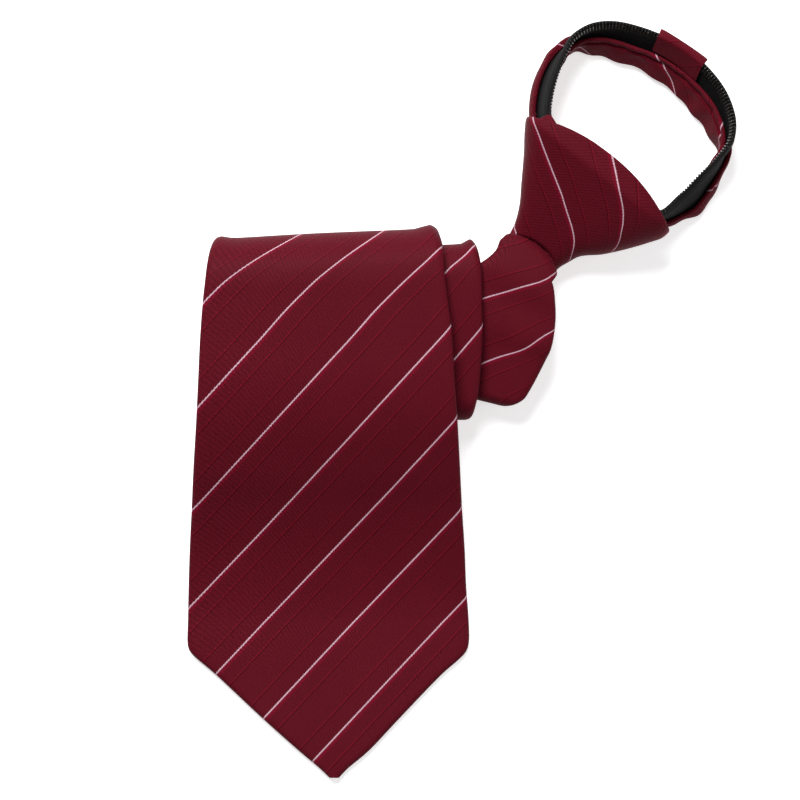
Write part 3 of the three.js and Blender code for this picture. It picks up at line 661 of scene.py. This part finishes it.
# The blade's pleat presses a crease into the front, just above its folded edge.
crease = swell(knot_s, 2.3 - 0.0356 * (knot_t - 0.8) ** 2, 0.4) * np.clip((8.0 - knot_t) / 6.0, 0, 1)
knot_z -= 1.25 * crease * np.clip(np.sin(knot_phi) * 3, 0, 1) * (1 - depths)
knot_points = in_knot(knot_s, knot_t, knot_z)[:, :-1]
knot_flat = knot_cut(knot_s, knot_t, knot_z, KNOT_AROUND // 2, WHITE_ON_KNOT)
knot = skin("silk_knot", silk, knot_points, np.concatenate([knot_flat, knot_flat[:1]]), looped=True)
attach(knot, "root")
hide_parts("knot_wrap")


# Inner wrap. The turn of cloth under the knot's front. Only its folded shoulder shows, at the top left,
# and it is held by the same hidden stitches behind the knot.
INNER_WRAP = 1.8
INNER_WRAP_FOOT = 8.0
INNER_STEPS = 72
INNER_LEVELS = 26
WHITE_ON_INNER = 12.0
SHOULDER = -0.915
inner_phi = np.linspace(0.88 * math.pi, 0.14 * math.pi, INNER_STEPS + 1)[:, None]
inner_x, _ = knot_shares(inner_phi)
inner_fall = np.where(inner_x > SHOULDER, 0.28 * (inner_x - SHOULDER), 1.77 * (SHOULDER - inner_x))
inner_top = KNOT_LENGTH * (1.135 - inner_fall)
levels = wall(np.linspace(0, 1, INNER_LEVELS + 1), INNER_WRAP)
shares, depths, beyond = (np.array(column)[None] for column in zip(*levels))
inner_s = INNER_WRAP_FOOT + (inner_top - INNER_WRAP_FOOT) * shares + beyond
inset = knot_wall(inner_s) + 3 * CLEARANCE + depths * INNER_WRAP
inner_t, inner_z = knot_across(inner_s, inner_phi, inset)
inner_points = in_knot(inner_s, inner_t, inner_z)
inner_flat = knot_cut(inner_s.T, inner_t.T, inner_z.T, INNER_STEPS // 2, WHITE_ON_INNER).swapaxes(0, 1)
inner_flat = np.concatenate([inner_flat, inner_flat[:, :1]], axis=1)
inner_wrap = skin("silk_inner_wrap", silk, inner_points, inner_flat)
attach(inner_wrap, "root")
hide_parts("knot_inner_wrap")


# Neck band. A narrow hem of the same silk, folded over the zip tape's lower edge and topstitched near both
# of its edges. It is deeper on the side that meets the neck, and its free edge ripples.
LOOP_SIZE = 60.0
BAND_WIDTH = 16.2
TAPE_THICKNESS = 1.0
TAPE_START = 3.2
BINDING_OUTSIDE = 4.6
BINDING_INSIDE = 10.0
BINDING_CLOTH = 1.2
TOOTH_HEIGHT = 1.5
KEEPER_ROW = 11.65
LOOP_SHARES = [
    (-0.419, 0.029, -0.486, 0.029),
    (-0.414, 0.119, -0.483, 0.124),
    (-0.393, 0.21, -0.462, 0.21),
    (-0.367, 0.286, -0.426, 0.281),
    (-0.34, 0.352, -0.376, 0.338),
    (-0.305, 0.419, -0.319, 0.367),
    (-0.224, 0.476, -0.243, 0.364),
    (-0.114, 0.49, -0.143, 0.345),
    (0.014, 0.464, -0.038, 0.302),
    (0.148, 0.41, 0.074, 0.257),
    (0.271, 0.331, 0.169, 0.183),
    (0.371, 0.233, 0.24, 0.107),
    (0.438, 0.124, 0.31, 0.038),
    (0.467, 0.005, 0.367, -0.048),
    (0.448, -0.081, 0.405, -0.124),
    (0.379, -0.167, 0.402, -0.195),
    (0.29, -0.252, 0.355, -0.293),
    (0.205, -0.338, 0.286, -0.395),
]
LEFT_END = [(0.8, -0.15, -0.56, 0.26), (0.93, -0.42, -0.7, 0.2)]
RIGHT_END = [(1.055, 0.78, 0.89, 0.1), (0.93, 0.44, 0.74, 0.2), (0.8, 0.15, 0.56, 0.26)]
tape_face = TAPE_THICKNESS / 2
binding_face = tape_face + CLEARANCE
binding_outer = binding_face + BINDING_CLOTH


def band_lines():
    """The line of the teeth's tips and the line of the binding's folded edge, one point for each row."""
    middle = in_knot(KNOT_LENGTH + 0.308 * LOOP_SIZE, 0, 0)
    ends = []
    for teeth_x, teeth_y, edge_x, edge_y in LOOP_SHARES:
        teeth = middle + LOOP_SIZE * np.array([teeth_x, teeth_y, 0])
        ends.append((teeth, middle + LOOP_SIZE * np.array([edge_x, edge_y, 0]), 0.0))
    half = KNOT_TOP_WIDTH / 2

    def inside(along, teeth_across, edge_across, lift):
        s = along * KNOT_LENGTH
        return in_knot(s, teeth_across * half, 0), in_knot(s, edge_across * half, 0), lift * BAND_WIDTH

    ends = [inside(*e) for e in LEFT_END] + ends + [inside(*e) for e in RIGHT_END]
    for teeth, edge, lift in ends:
        lean = np.linalg.norm(teeth - edge) / BAND_WIDTH
        rise = math.sqrt(1 - lean * lean)
        down = max(binding_face * lean, binding_outer * lean - BINDING_CLOTH / 2 * rise)
        edge[2] = lift + CLEARANCE + down
        teeth[2] = edge[2] + BAND_WIDTH * rise
    return np.array([e[0] for e in ends]), np.array([e[1] for e in ends])


teeth_line, edge_line = band_lines()
LAST_ROW = len(teeth_line) - 1
keeper_row_length = np.linalg.norm(teeth_line[12] - teeth_line[11])


def band_frame(places):
    """At places counted in rows: the binding's edge, the way up the band, and the way out of the loop."""
    edge = through(edge_line, places)
    up = through(teeth_line, places) - edge
    up /= np.linalg.norm(up, axis=1, keepdims=True)
    step = 0.01
    low, high = np.clip(places - step, 0, LAST_ROW), np.clip(places + step, 0, LAST_ROW)
    heading = through(edge_line, high) - through(edge_line, low)
    heading += through(teeth_line, high) - through(teeth_line, low)
    outward = np.cross(up, heading)
    outward /= np.linalg.norm(outward, axis=1, keepdims=True)
    return edge, up, outward


def along_band(section, places):
    """Rings of a section, given as width up the band and distance out of it, for each place or for all."""
    edge, up, outward = band_frame(places)
    section = np.broadcast_to(section, (len(places), *np.shape(section)[-2:]))
    return edge[:, None] + up[:, None] * section[..., :1] + outward[:, None] * section[..., 1:]


def band_places(start, end, spacing=0.8):
    length = steps_along(through(edge_line, np.linspace(start, end, 400))).sum()
    return np.linspace(start, end, int(length / spacing) + 1)


def outline(corners, radius, steps, spacing):
    """A closed outline with its corners rounded off, and with points on its long sides, so that folds and
    seams can be pressed into them."""
    turned = []
    corners = np.array(corners, float)
    for i, corner in enumerate(corners):
        before, after = corners[i - 1] - corner, corners[(i + 1) % len(corners)] - corner
        reach = min(radius, 0.45 * np.linalg.norm(before), 0.45 * np.linalg.norm(after))
        a = corner + before / np.linalg.norm(before) * reach
        b = corner + after / np.linalg.norm(after) * reach
        for t in np.linspace(0, 1, steps):
            turned.append((1 - t) ** 2 * a + 2 * t * (1 - t) * corner + t * t * b)
    made = []
    for i, a in enumerate(turned):
        b = turned[(i + 1) % len(turned)]
        count = max(1, int(np.ceil(np.linalg.norm(b - a) / spacing)))
        made += [a + (b - a) * k / count for k in range(count)]
    return np.array(made)


binding_corners = [
    (BINDING_INSIDE, -binding_face),
    (BINDING_INSIDE, -binding_outer),
    (0, -binding_outer),
    (0, binding_outer),
    (BINDING_OUTSIDE, binding_outer),
    (BINDING_OUTSIDE, binding_face),
    (TAPE_START - CLEARANCE, binding_face),
    (TAPE_START - CLEARANCE, -binding_face),
]
binding_section = outline(binding_corners, radius=0.7, steps=4, spacing=0.55)


def binding_relief(section, places, far):
    """Presses the topstitched groove under both edges. The hem ripples below it, sags a little inside the
    back of the loop, bellies out at the loop's top left, and puffs up between its stitches."""
    made = np.repeat(section[None], len(places), axis=0)
    width, out = section[:, 0], section[:, 1]
    inside = out < -binding_face - 0.2
    outside = out > binding_face + 0.2
    groove = 0.9 * swell(width, BINDING_INSIDE - 1.9, 0.4) * inside
    groove -= 0.35 * swell(width, BINDING_OUTSIDE - 1.3, 0.35) * outside
    ripple = 0.45 * np.sin(far / 1.45 + 0.8 * np.sin(far / 6.1)) + 0.3 * np.sin(far / 2.9 + 1.3)
    ripple *= np.clip((far - 26.0) / 12.0, 0, 1)
    free = np.clip(1 - width / 8.0, 0, 1)[None]
    made[..., 1] += groove + ripple[:, None] * free * 0.75
    made[..., 1] += 0.35 * ripple[:, None] * (swell(width, 4.5, 2.2) * inside)[None]
    made[..., 1] += 0.6 * swell(far, 34.5, 5.0)[:, None] * outside
    made[..., 0] -= 1.5 * swell(far, 56.0, 18.0)[:, None] * ((out < 0) * np.clip(width / 8, 0, 1))
    made[..., 0] += 0.22 * np.sin(far / 2.3 + 2.0)[:, None] * np.clip(1 - width / 3.0, 0, 1)
    puff = 0.16 * np.sin(far / 0.95 + 0.6 * np.sin(far / 4.0))[:, None]
    made[..., 1] -= puff * (swell(width, BINDING_INSIDE - 0.9, 0.7) * inside)[None]
    return made


BAND_STRIPE_TURN = math.radians(46.0)
WHITE_ON_BAND = 20.0
binding_places = band_places(0, LAST_ROW, 0.6)
edge_there, _, _ = band_frame(binding_places)
binding_far = far_along(edge_there)
shaped = binding_relief(binding_section, binding_places, binding_far)
binding_points = along_band(shaped, binding_places)
fold_column = int(np.argmin(np.abs(binding_section[:, 1]) + np.abs(binding_section[:, 0])))
binding_round = round_a_ring(binding_points, fold_column)
lengthwise = (binding_far - WHITE_ON_BAND)[:, None]
cosine, sine = math.cos(BAND_STRIPE_TURN), math.sin(BAND_STRIPE_TURN)
binding_cut = [cosine * binding_round - sine * lengthwise, sine * binding_round + cosine * lengthwise]
binding_cut = np.stack(binding_cut, axis=-1)
# Two of the stripes inside lie a little askew, as the hem was turned by hand.
up_inside = np.clip(-binding_round / 11, 0, 1)
askew = swell(binding_far, 67.0, 9.0)[:, None] * (1.5 - 1.9 * up_inside)
askew += swell(binding_far, 41.0, 8.0)[:, None] * (0.6 * up_inside - 1.15)
binding_cut[..., 0] += askew * np.clip(-binding_round / 1.5, 0, 1)
# Outside, the cloth is drawn on along the tape, on the side that starts at the knot's left.
drawn_on = 8.1 * np.clip((40.0 - binding_far) / 8.0, 0, 1)[:, None]
binding_cut[..., 0] += drawn_on * np.clip(binding_round / 3.0, 0, 1)
binding_silk = striped_silk("binding_silk", base=(0.084, 0.0047, 0.0104))
binding = skin("silk_neck_band", binding_silk, binding_points, binding_cut)
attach(binding, "root")
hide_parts("neck_band")


# Zip tapes. Two woven polyester tapes, caught in the hem below and carrying the coils on their free edge.
# They meet under the keeper, at the back of the neck.
JOINT = CLEARANCE / 2 / keeper_row_length
tape_top = BAND_WIDTH - TOOTH_HEIGHT - CLEARANCE
tape_edges = TAPE_START, tape_top + 0.3
tape_corners = [(tape_edges[0], -tape_face), (tape_edges[0], tape_face)]
tape_corners += [(tape_edges[1], tape_face), (tape_edges[1], -tape_face)]
tape_section = outline(tape_corners, radius=0.35, steps=3, spacing=1.0)
HALVES = ("left", 0, KEEPER_ROW - JOINT), ("right", KEEPER_ROW + JOINT, LAST_ROW)


def woven_tape(name):
    """Black polyester tape: a tight warp-ribbed weave that catches a little grey light on its yarns."""
    n = Finish(name)
    across, along, flat = n.cloth()
    warp = n.math("SINE", n.math("MULTIPLY", across, 2 * math.pi / 0.55))
    weft = n.math("MULTIPLY", along, 2 * math.pi / 0.5)
    weft = n.math("SINE", n.math("MULTIPLY_ADD", across, 2.6, weft))
    yarn = n.math("MULTIPLY", warp, weft)
    lint = n.noise(flat, 2.4, 3.0)
    height = n.math("MULTIPLY_ADD", lint, 1.2, n.math("MULTIPLY", yarn, 0.4))
    shade = n.math("MULTIPLY_ADD", yarn, 0.10, lint)
    yarns = [(0.25, (0.002, 0.002, 0.0022)), (0.5, (0.0054, 0.0051, 0.0053))]
    yarns += [(0.75, (0.017, 0.016, 0.0157))]
    roughness = n.math("MULTIPLY_ADD", lint, 0.2, 0.62)
    return n.done(n.ramp(shade, yarns), roughness, (0.7, 0.0001, height), Specular_IOR_Level=0.06)


tape_cloth = woven_tape("black_zip_tape")
tapes, tape_steps = [], []
for side, start, end in HALVES:
    places = band_places(start, end)
    points = along_band(tape_section, places)
    far = far_along(points[:, 0])[:, None]
    tape_flat = np.stack(np.broadcast_arrays(round_a_ring(points, 1), far), axis=-1)
    tape = skin("zip_tape_" + side, tape_cloth, points, tape_flat)
    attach(tape, "root")
    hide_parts("zipper_tape_" + side)
    tapes.append(tape)
    tape_steps.append(steps_along(points[:, 0]))


# Zip teeth. A nylon coil: one loop of thick thread after another, laid over a core on the tape's edge, on
# the face that looks into the loop, and sewn down along its inner side.
TOOTH_PITCH = 0.94


def black_nylon(name, shine=0.22):
    """Black nylon: smooth and slightly shiny, browner where light comes through the thread."""
    n = Finish(name)
    where = n.add("ShaderNodeTexCoord").outputs["Object"]
    cloudy = n.noise(where, 900.0, 2.0)
    colour = n.ramp(cloudy, [(0.3, (0.005, 0.0047, 0.0044)), (0.7, (0.016, 0.0135, 0.011))])
    roughness = n.math("MULTIPLY_ADD", cloudy, 0.1, 0.2)
    fine = n.noise(where, 5000.0, 2.0)
    return n.done(colour, roughness, (0.3, 0.00004, fine), Specular_IOR_Level=shine)


nylon = black_nylon("black_nylon")
shiny_nylon = black_nylon("shiny_nylon", shine=0.9)


def guide(name, points, ups):
    """A line of points to set things along, each with its own way up."""
    mesh = bpy.data.meshes.new(name)
    edges = np.stack([np.arange(len(points) - 1), np.arange(1, len(points))], axis=-1)
    mesh.from_pydata((points + ORIGIN) * MM, edges.tolist(), [])
    way = mesh.attributes.new("way_up", "FLOAT_VECTOR", "POINT")
    way.data.foreach_set("vector", ups.astype(np.float32).ravel())
    return put(name, mesh)


class Along(Tree):
    """A geometry tree that sets a shape at each pitch of a line, upright on it, and makes them one mesh."""

    def __init__(self, name, sizes):
        super().__init__(bpy.data.node_groups.new(name, "GeometryNodeTree"))
        sockets = [("Line", "Geometry"), *((label, "Float") for label in sizes), ("Seed", "Int")]
        for label, kind in [*sockets, ("Finish", "Material")]:
            self.tree.interface.new_socket(label, in_out="INPUT", socket_type="NodeSocket" + kind)
        self.tree.interface.new_socket("Made", in_out="OUTPUT", socket_type="NodeSocketGeometry")
        self.given = self.add("NodeGroupInput").outputs

    def point(self, x=0.0, y=0.0, z=0.0):
        return self.add("ShaderNodeCombineXYZ", {0: x, 1: y, 2: z}).outputs[0]

    def set_out(self, shape, stray):
        """Sets the shape out along the line. Its sizes stray by a share from one copy to the next."""
        curve = self.add("GeometryNodeMeshToCurve", {0: self.given["Line"]}).outputs[0]
        spacing = {"Curve": curve, "Length": self.given["Pitch"]}
        points = self.add("GeometryNodeResampleCurve", spacing, mode="LENGTH").outputs[0]
        heading = self.add("GeometryNodeInputTangent").outputs[0]
        vector = {"data_type": "FLOAT_VECTOR"}
        up = self.add("GeometryNodeInputNamedAttribute", {"Name": "way_up"}, **vector).outputs[0]
        axes = {"primary_axis": "X", "secondary_axis": "Z"}
        turn = self.add("FunctionNodeAxesToRotation", {0: heading, 1: up}, **axes).outputs[0]
        sizes = self.add("FunctionNodeRandomValue", {"Seed": self.given["Seed"]}, **vector)
        low, high = (s for s in sizes.inputs if s.name in ("Min", "Max") and s.type == "VECTOR")
        low.default_value = (1 - stray,) * 3
        high.default_value = (1 + stray,) * 3
        placing = {"Points": points, "Instance": shape, "Rotation": turn, "Scale": sizes.outputs[0]}
        copies = self.add("GeometryNodeInstanceOnPoints", placing).outputs[0]
        real = self.add("GeometryNodeRealizeInstances", {0: copies}).outputs[0]
        finished = {"Geometry": real, "Material": self.given["Finish"]}
        finished = self.add("GeometryNodeSetMaterial", finished).outputs[0]
        smooth = self.add("GeometryNodeSetShadeSmooth", {0: finished}).outputs[0]
        self.add("NodeGroupOutput", {0: smooth})
        return self.tree


def coil_tree():
    """A coil's loop: an arch of round thread that stands across the tape's edge."""
    n = Along("coil_loops", ["Pitch", "Half Width", "Height", "Thread"])
    half = n.given["Half Width"]
    start = n.point(y=n.math("MULTIPLY", half, -1.0))
    top = n.point(z=n.math("MULTIPLY", n.given["Height"], 2.0))
    bend = {"Resolution": 8, "Start": start, "Middle": top, "End": n.point(y=half)}
    arch = n.add("GeometryNodeCurveQuadraticBezier", bend).outputs[0]
    thread = {"Resolution": 6, "Radius": n.given["Thread"]}
    profile = n.add("GeometryNodeCurvePrimitiveCircle", thread).outputs["Curve"]
    tube = {"Curve": arch, "Profile Curve": profile, "Fill Caps": True}
    return n.set_out(n.add("GeometryNodeCurveToMesh", tube).outputs[0], stray=0.05)


def stitch_tree():
    """A stitch: a bead of thread, longest across its row and half sunk in the coil's core."""
    n = Along("stitches", ["Pitch", "Length", "Across", "Thread"])
    bead = n.add("GeometryNodeMeshUVSphere", {"Segments": 6, "Rings": 5, "Radius": 0.5}).outputs["Mesh"]
    size = n.point(n.given["Length"], n.given["Across"], n.given["Thread"])
    shape = n.add("GeometryNodeTransform", {"Geometry": bead, "Scale": size})
    return n.set_out(shape.outputs[0], stray=0.08)


def made_along(tree, name, line, ups, seed, finish, **sizes):
    """Runs a tree over a line and keeps its result as a plain mesh."""
    carrier = guide(name + "_line", line, ups)
    modifier = carrier.modifiers.new(name, "NODES")
    modifier.node_group = tree
    named = {item.name: item.identifier for item in tree.interface.items_tree if item.in_out == "INPUT"}
    for label, value in sizes.items():
        modifier[named[label.replace("_", " ")]] = value * MM
    modifier[named["Seed"]] = seed
    modifier[named["Finish"]] = finish
    bpy.context.view_layer.update()
    graph = bpy.context.evaluated_depsgraph_get()
    mesh = bpy.data.meshes.new_from_object(carrier.evaluated_get(graph))
    mesh.name = name
    bpy.data.objects.remove(carrier)
    return put(name, mesh)


coil_loops = coil_tree()
stitches = stitch_tree()
THREAD = 0.31
TOOTH_SIDE = 0.6
COIL_DEPTH = 0.7  # how far the loops reach down the tape
crown = BAND_WIDTH - THREAD
foot = tape_top - COIL_DEPTH
arch = np.linspace(-1, 1, 13)
CORE_HALF = TOOTH_SIDE + 0.33
cord_section = np.stack([foot + (crown - foot + 0.12) * (1 - arch**2), arch * CORE_HALF], axis=-1)
COIL_INWARD = 0.28
for side, start, end in HALVES:
    places = band_places(start, end, 0.5)
    edge, up, outward = band_frame(places)
    teeth = made_along(
        coil_loops,
        "zip_teeth_" + side,
        edge + up * foot - outward * COIL_INWARD,
        up,
        seed=3,
        finish=nylon,
        Pitch=TOOTH_PITCH,
        Half_Width=TOOTH_SIDE,
        Height=crown - foot,
        Thread=THREAD,
    )
    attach(teeth, "root")
    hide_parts("zipper_teeth_" + side)
    cord_points = along_band(cord_section, places)
    cord_round = round_a_ring(cord_points, 1)
    cord_flat = np.stack([cord_round, 0 * cord_round], axis=-1)
    cord = skin("zip_cord_" + side, tape_cloth, cord_points, cord_flat)
    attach(cord, "root")
    row_of_stitches = made_along(
        stitches,
        "zip_stitches_" + side,
        edge + up * (crown - 0.85) - outward * (TOOTH_SIDE + 0.06),
        -outward,
        seed=5,
        finish=shiny_nylon,
        Pitch=TOOTH_PITCH,
        Length=0.55,
        Across=1.5,
        Thread=0.55,
    )
    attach(row_of_stitches, "root")


# Keeper. A tab of the same silk folded over the coil where the two tapes meet, to keep it off the neck.
# Its outer leg goes down to the hem, its inner leg is tucked behind the hem's deep side, and both are sewn.
KEEPER_LENGTH = 15.7
KEEPER_CLOTH = 0.55
KEEPER_STEP = 0.35
KEEPER_STRIPE = 17.6
KEEPER_OFF_JOINT = 0.9
keeper_inner = TOOTH_SIDE + THREAD + 0.02
keeper_outer = keeper_inner + KEEPER_CLOTH
keeper_crown = BAND_WIDTH + 0.05
outside_foot = BINDING_OUTSIDE + binding_outer
inside_foot = BINDING_INSIDE - 0.6
keeper_corners = [
    (outside_foot, keeper_inner),
    (outside_foot, keeper_outer),
    (keeper_crown + KEEPER_CLOTH, keeper_outer),
    (keeper_crown + KEEPER_CLOTH, -keeper_outer),
    (inside_foot, -keeper_outer),
    (inside_foot, -keeper_inner),
    (keeper_crown, -keeper_inner),
    (keeper_crown, keeper_inner),
]
keeper_section = outline(keeper_corners, radius=1.2, steps=5, spacing=0.8)
reach = KEEPER_LENGTH / 2 / keeper_row_length
keeper_at = KEEPER_ROW - KEEPER_OFF_JOINT / keeper_row_length
keeper_places = band_places(keeper_at - reach, keeper_at + reach, KEEPER_STEP)
# Its two ends are drawn in a little.
from_end = np.minimum(np.arange(len(keeper_places)), np.arange(len(keeper_places))[::-1]) * KEEPER_STEP
drawn_in = 0.045 * (1 - np.clip(from_end, 0, 1)) ** 2
keeper_middle = np.array([(keeper_crown + KEEPER_CLOTH / 2) / 2 + 4, 0.0])
keeper_rings = np.repeat(keeper_section[None], len(keeper_places), axis=0)
keeper_rings = keeper_rings + (keeper_middle - keeper_rings) * drawn_in[:, None, None]
# Its outer side is pulled straight between its two ends, so the ends stand off the curved coil.
end_to_end = np.linspace(-1, 1, len(keeper_places))[:, None]
keeper_rings[..., 1] += 0.8 * end_to_end**2 * np.clip(keeper_rings[..., 1] / keeper_outer, 0, 1)
keeper_points = along_band(keeper_rings, keeper_places)
# The foot of its inner leg is drawn on along the hem at one end.
down_leg = np.clip((keeper_crown - keeper_rings[..., 0]) / (keeper_crown - inside_foot), 0, 1)
down_leg *= (keeper_rings[..., 1] < -0.3) * np.clip(end_to_end, 0, 1) ** 2
heading = np.gradient(through(edge_line, keeper_places), axis=0)
heading /= np.linalg.norm(heading, axis=1, keepdims=True)
keeper_points += (1.4 * down_leg)[..., None] * heading[:, None]
keeper_far = KEEPER_LENGTH / 2 * end_to_end
keeper_round = round_a_ring(keeper_points, 8)
keeper_across = 0.7 * keeper_far + 0.7 * keeper_round + KEEPER_STRIPE
keeper_cut = np.stack([keeper_across, 0.7 * keeper_round - 0.7 * keeper_far], axis=-1)
keeper = skin("silk_keeper", binding_silk, keeper_points, keeper_cut)
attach(keeper, "root")
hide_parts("keeper")


# Tail. The closed end of the zip band, sewn up in the same silk. It leaves the knot under the blade, and is
# folded once and tucked into the roll, where the blade hides it from above.
TAIL_CLOTH = 2.0
tail_mouth = KNOT_WALL + TAIL_CLOTH / 2 + CLEARANCE
tail_low = UNDER_3 + CLOTH / 2 + TAIL_CLOTH / 2 + CLEARANCE
tail_high = LAYER_3 - 0.6 * SAG - CLOTH / 2 - TAIL_CLOTH / 2 - CLEARANCE
soft = {"cloth": TAIL_CLOTH}
climb = tail_high - tail_mouth
tail_rows = [
    knot_row(0.72, 0.62, 0.54, tail_mouth + 0.1 * KNOT_FOOT_DEPTH, **soft),
    knot_row(0.35, 0.62, 0.54, tail_mouth + 0.03 * KNOT_FOOT_DEPTH, **soft),
    knot_row(0.03, 0.6, 0.48, tail_mouth, **soft),
    knot_row(-0.35, 0.75, 0.7, tail_mouth, **soft),
    knot_row(-0.66, 0.9, 0.9, tail_mouth + 0.35 * climb, **soft),
    knot_row(-0.95, 1.15, 1.15, tail_mouth + 0.8 * climb, **soft),
    roll_row(-0.1, 0.47, 0.205, 0.61, tail_high, **soft),
    *fold(
        roll_row(-0.19, 0.58, 0.115, 0.7, tail_high),
        roll_row(-0.21, 0.57, 0.095, 0.69, tail_low),
        -1,
        **soft,
    ),
    roll_row(-0.32, 0.4, -0.01, 0.45, tail_low, **soft),
    roll_row(-0.4, 0.2, -0.09, 0.21, tail_low, **soft),
]
tail_points, _, _, tail_edges = strip_rings(tail_rows)
tail_middle = tail_points.shape[1] // 2
tail_across = round_a_ring(tail_points, tail_middle)
tail_far = far_along(tail_points[:, tail_middle])
tail_flat = np.stack(np.broadcast_arrays(tail_across, -tail_far[:, None]), axis=-1)
tail_cut = tail_flat @ np.stack([ACROSS_STRIPE, ALONG_STRIPE], axis=-1)
tail = skin("silk_tail", binding_silk, tail_points, tail_cut)
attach(tail, "root")
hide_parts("tail")


# Slider. The plain black slider that shuts the two coils inside the knot. It is moulded in one piece, and
# the knot hides it.
def moulded_plastic(name):
    """Black moulded plastic with the fine grain of its mould."""
    n = Finish(name)
    where = n.add("ShaderNodeTexCoord").outputs["Object"]
    grain = n.noise(where, 2500.0, 3.0)
    colour = n.ramp(grain, [(0.3, (0.009, 0.0088, 0.0085)), (0.7, (0.016, 0.0155, 0.015))])
    return n.done(colour, n.math("MULTIPLY_ADD", grain, 0.15, 0.35), (0.4, 0.00003, grain))


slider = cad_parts["zipper_slider"]
slider.data.materials.clear()
slider.data.materials.append(moulded_plastic("slider_plastic"))


inner_outer = inner_points[:, : INNER_LEVELS + 1]
steps_along(inner_outer.swapaxes(0, 1)).mean(axis=1)


# Table, light and camera. A white table that glows faintly, as painted light that washes out the shadows
# cast on it, under a wide soft lamp from the upper left and a weaker one from the right. The camera looks
# straight down from far away, so the picture has hardly any perspective.
def glowing_white(name):
    n = Finish(name)
    where = n.add("ShaderNodeTexCoord").outputs["Object"]
    faint = n.noise(where, 40.0, 2.0)
    shades = n.ramp(faint, [(0.0, (0.86, 0.86, 0.86)), (1.0, (0.88, 0.88, 0.88))])
    # Painted light: the table glows though it is no lamp, so the shadows on it fade and the cloth is lit a
    # little from below.
    glow = {"Emission_Color": (1, 1, 1, 1), "Emission_Strength": 0.6}
    return n.done(shades, 0.9, Specular_IOR_Level=0.1, **glow)


table_mesh = bpy.data.meshes.new("table")
half = 6.0
corners = [(-half, -half, 0), (half, -half, 0), (half, half, 0), (-half, half, 0)]
table_mesh.from_pydata(corners, [], [(0, 1, 2, 3)])
table_mesh.materials.append(glowing_white("white_table"))
table = put("table", table_mesh)
table.location.z = -0.0001

scene = bpy.context.scene
scene.view_settings.view_transform = "Standard"
scene.world = bpy.data.worlds.new("studio")
scene.world.use_nodes = True
background = scene.world.node_tree.nodes["Background"].inputs
background["Color"].default_value = (1, 1, 1, 1)
background["Strength"].default_value = 0.18


def lamp(name, place, size, power):
    light = bpy.data.lights.new(name, "AREA")
    light.shape = "DISK"
    light.size = size
    light.energy = power
    made = put(name, light)
    made.location = place
    made.rotation_euler = (-made.location).to_track_quat("-Z", "Y").to_euler()


lamp("key_lamp", (-0.45, 1.47, 1.86), 1.35, 90.0)
lamp("fill_lamp", (0.9, -0.1, 1.1), 0.9, 3.2)

CAMERA_HEIGHT = 3.6
SCALE_HEIGHT = 0.012  # the level at which the picture has its scale, 3.5 pixels to the millimetre
PICTURE_WIDTH = 0.800 / 3.5
PICTURE_MIDDLE = (-0.01804, -0.00044)
camera = bpy.data.cameras.new("camera")
camera.lens = camera.sensor_width * (CAMERA_HEIGHT - SCALE_HEIGHT) / PICTURE_WIDTH
camera.clip_end = 20
scene.camera = put("camera", camera)
scene.camera.location = (*PICTURE_MIDDLE, CAMERA_HEIGHT)
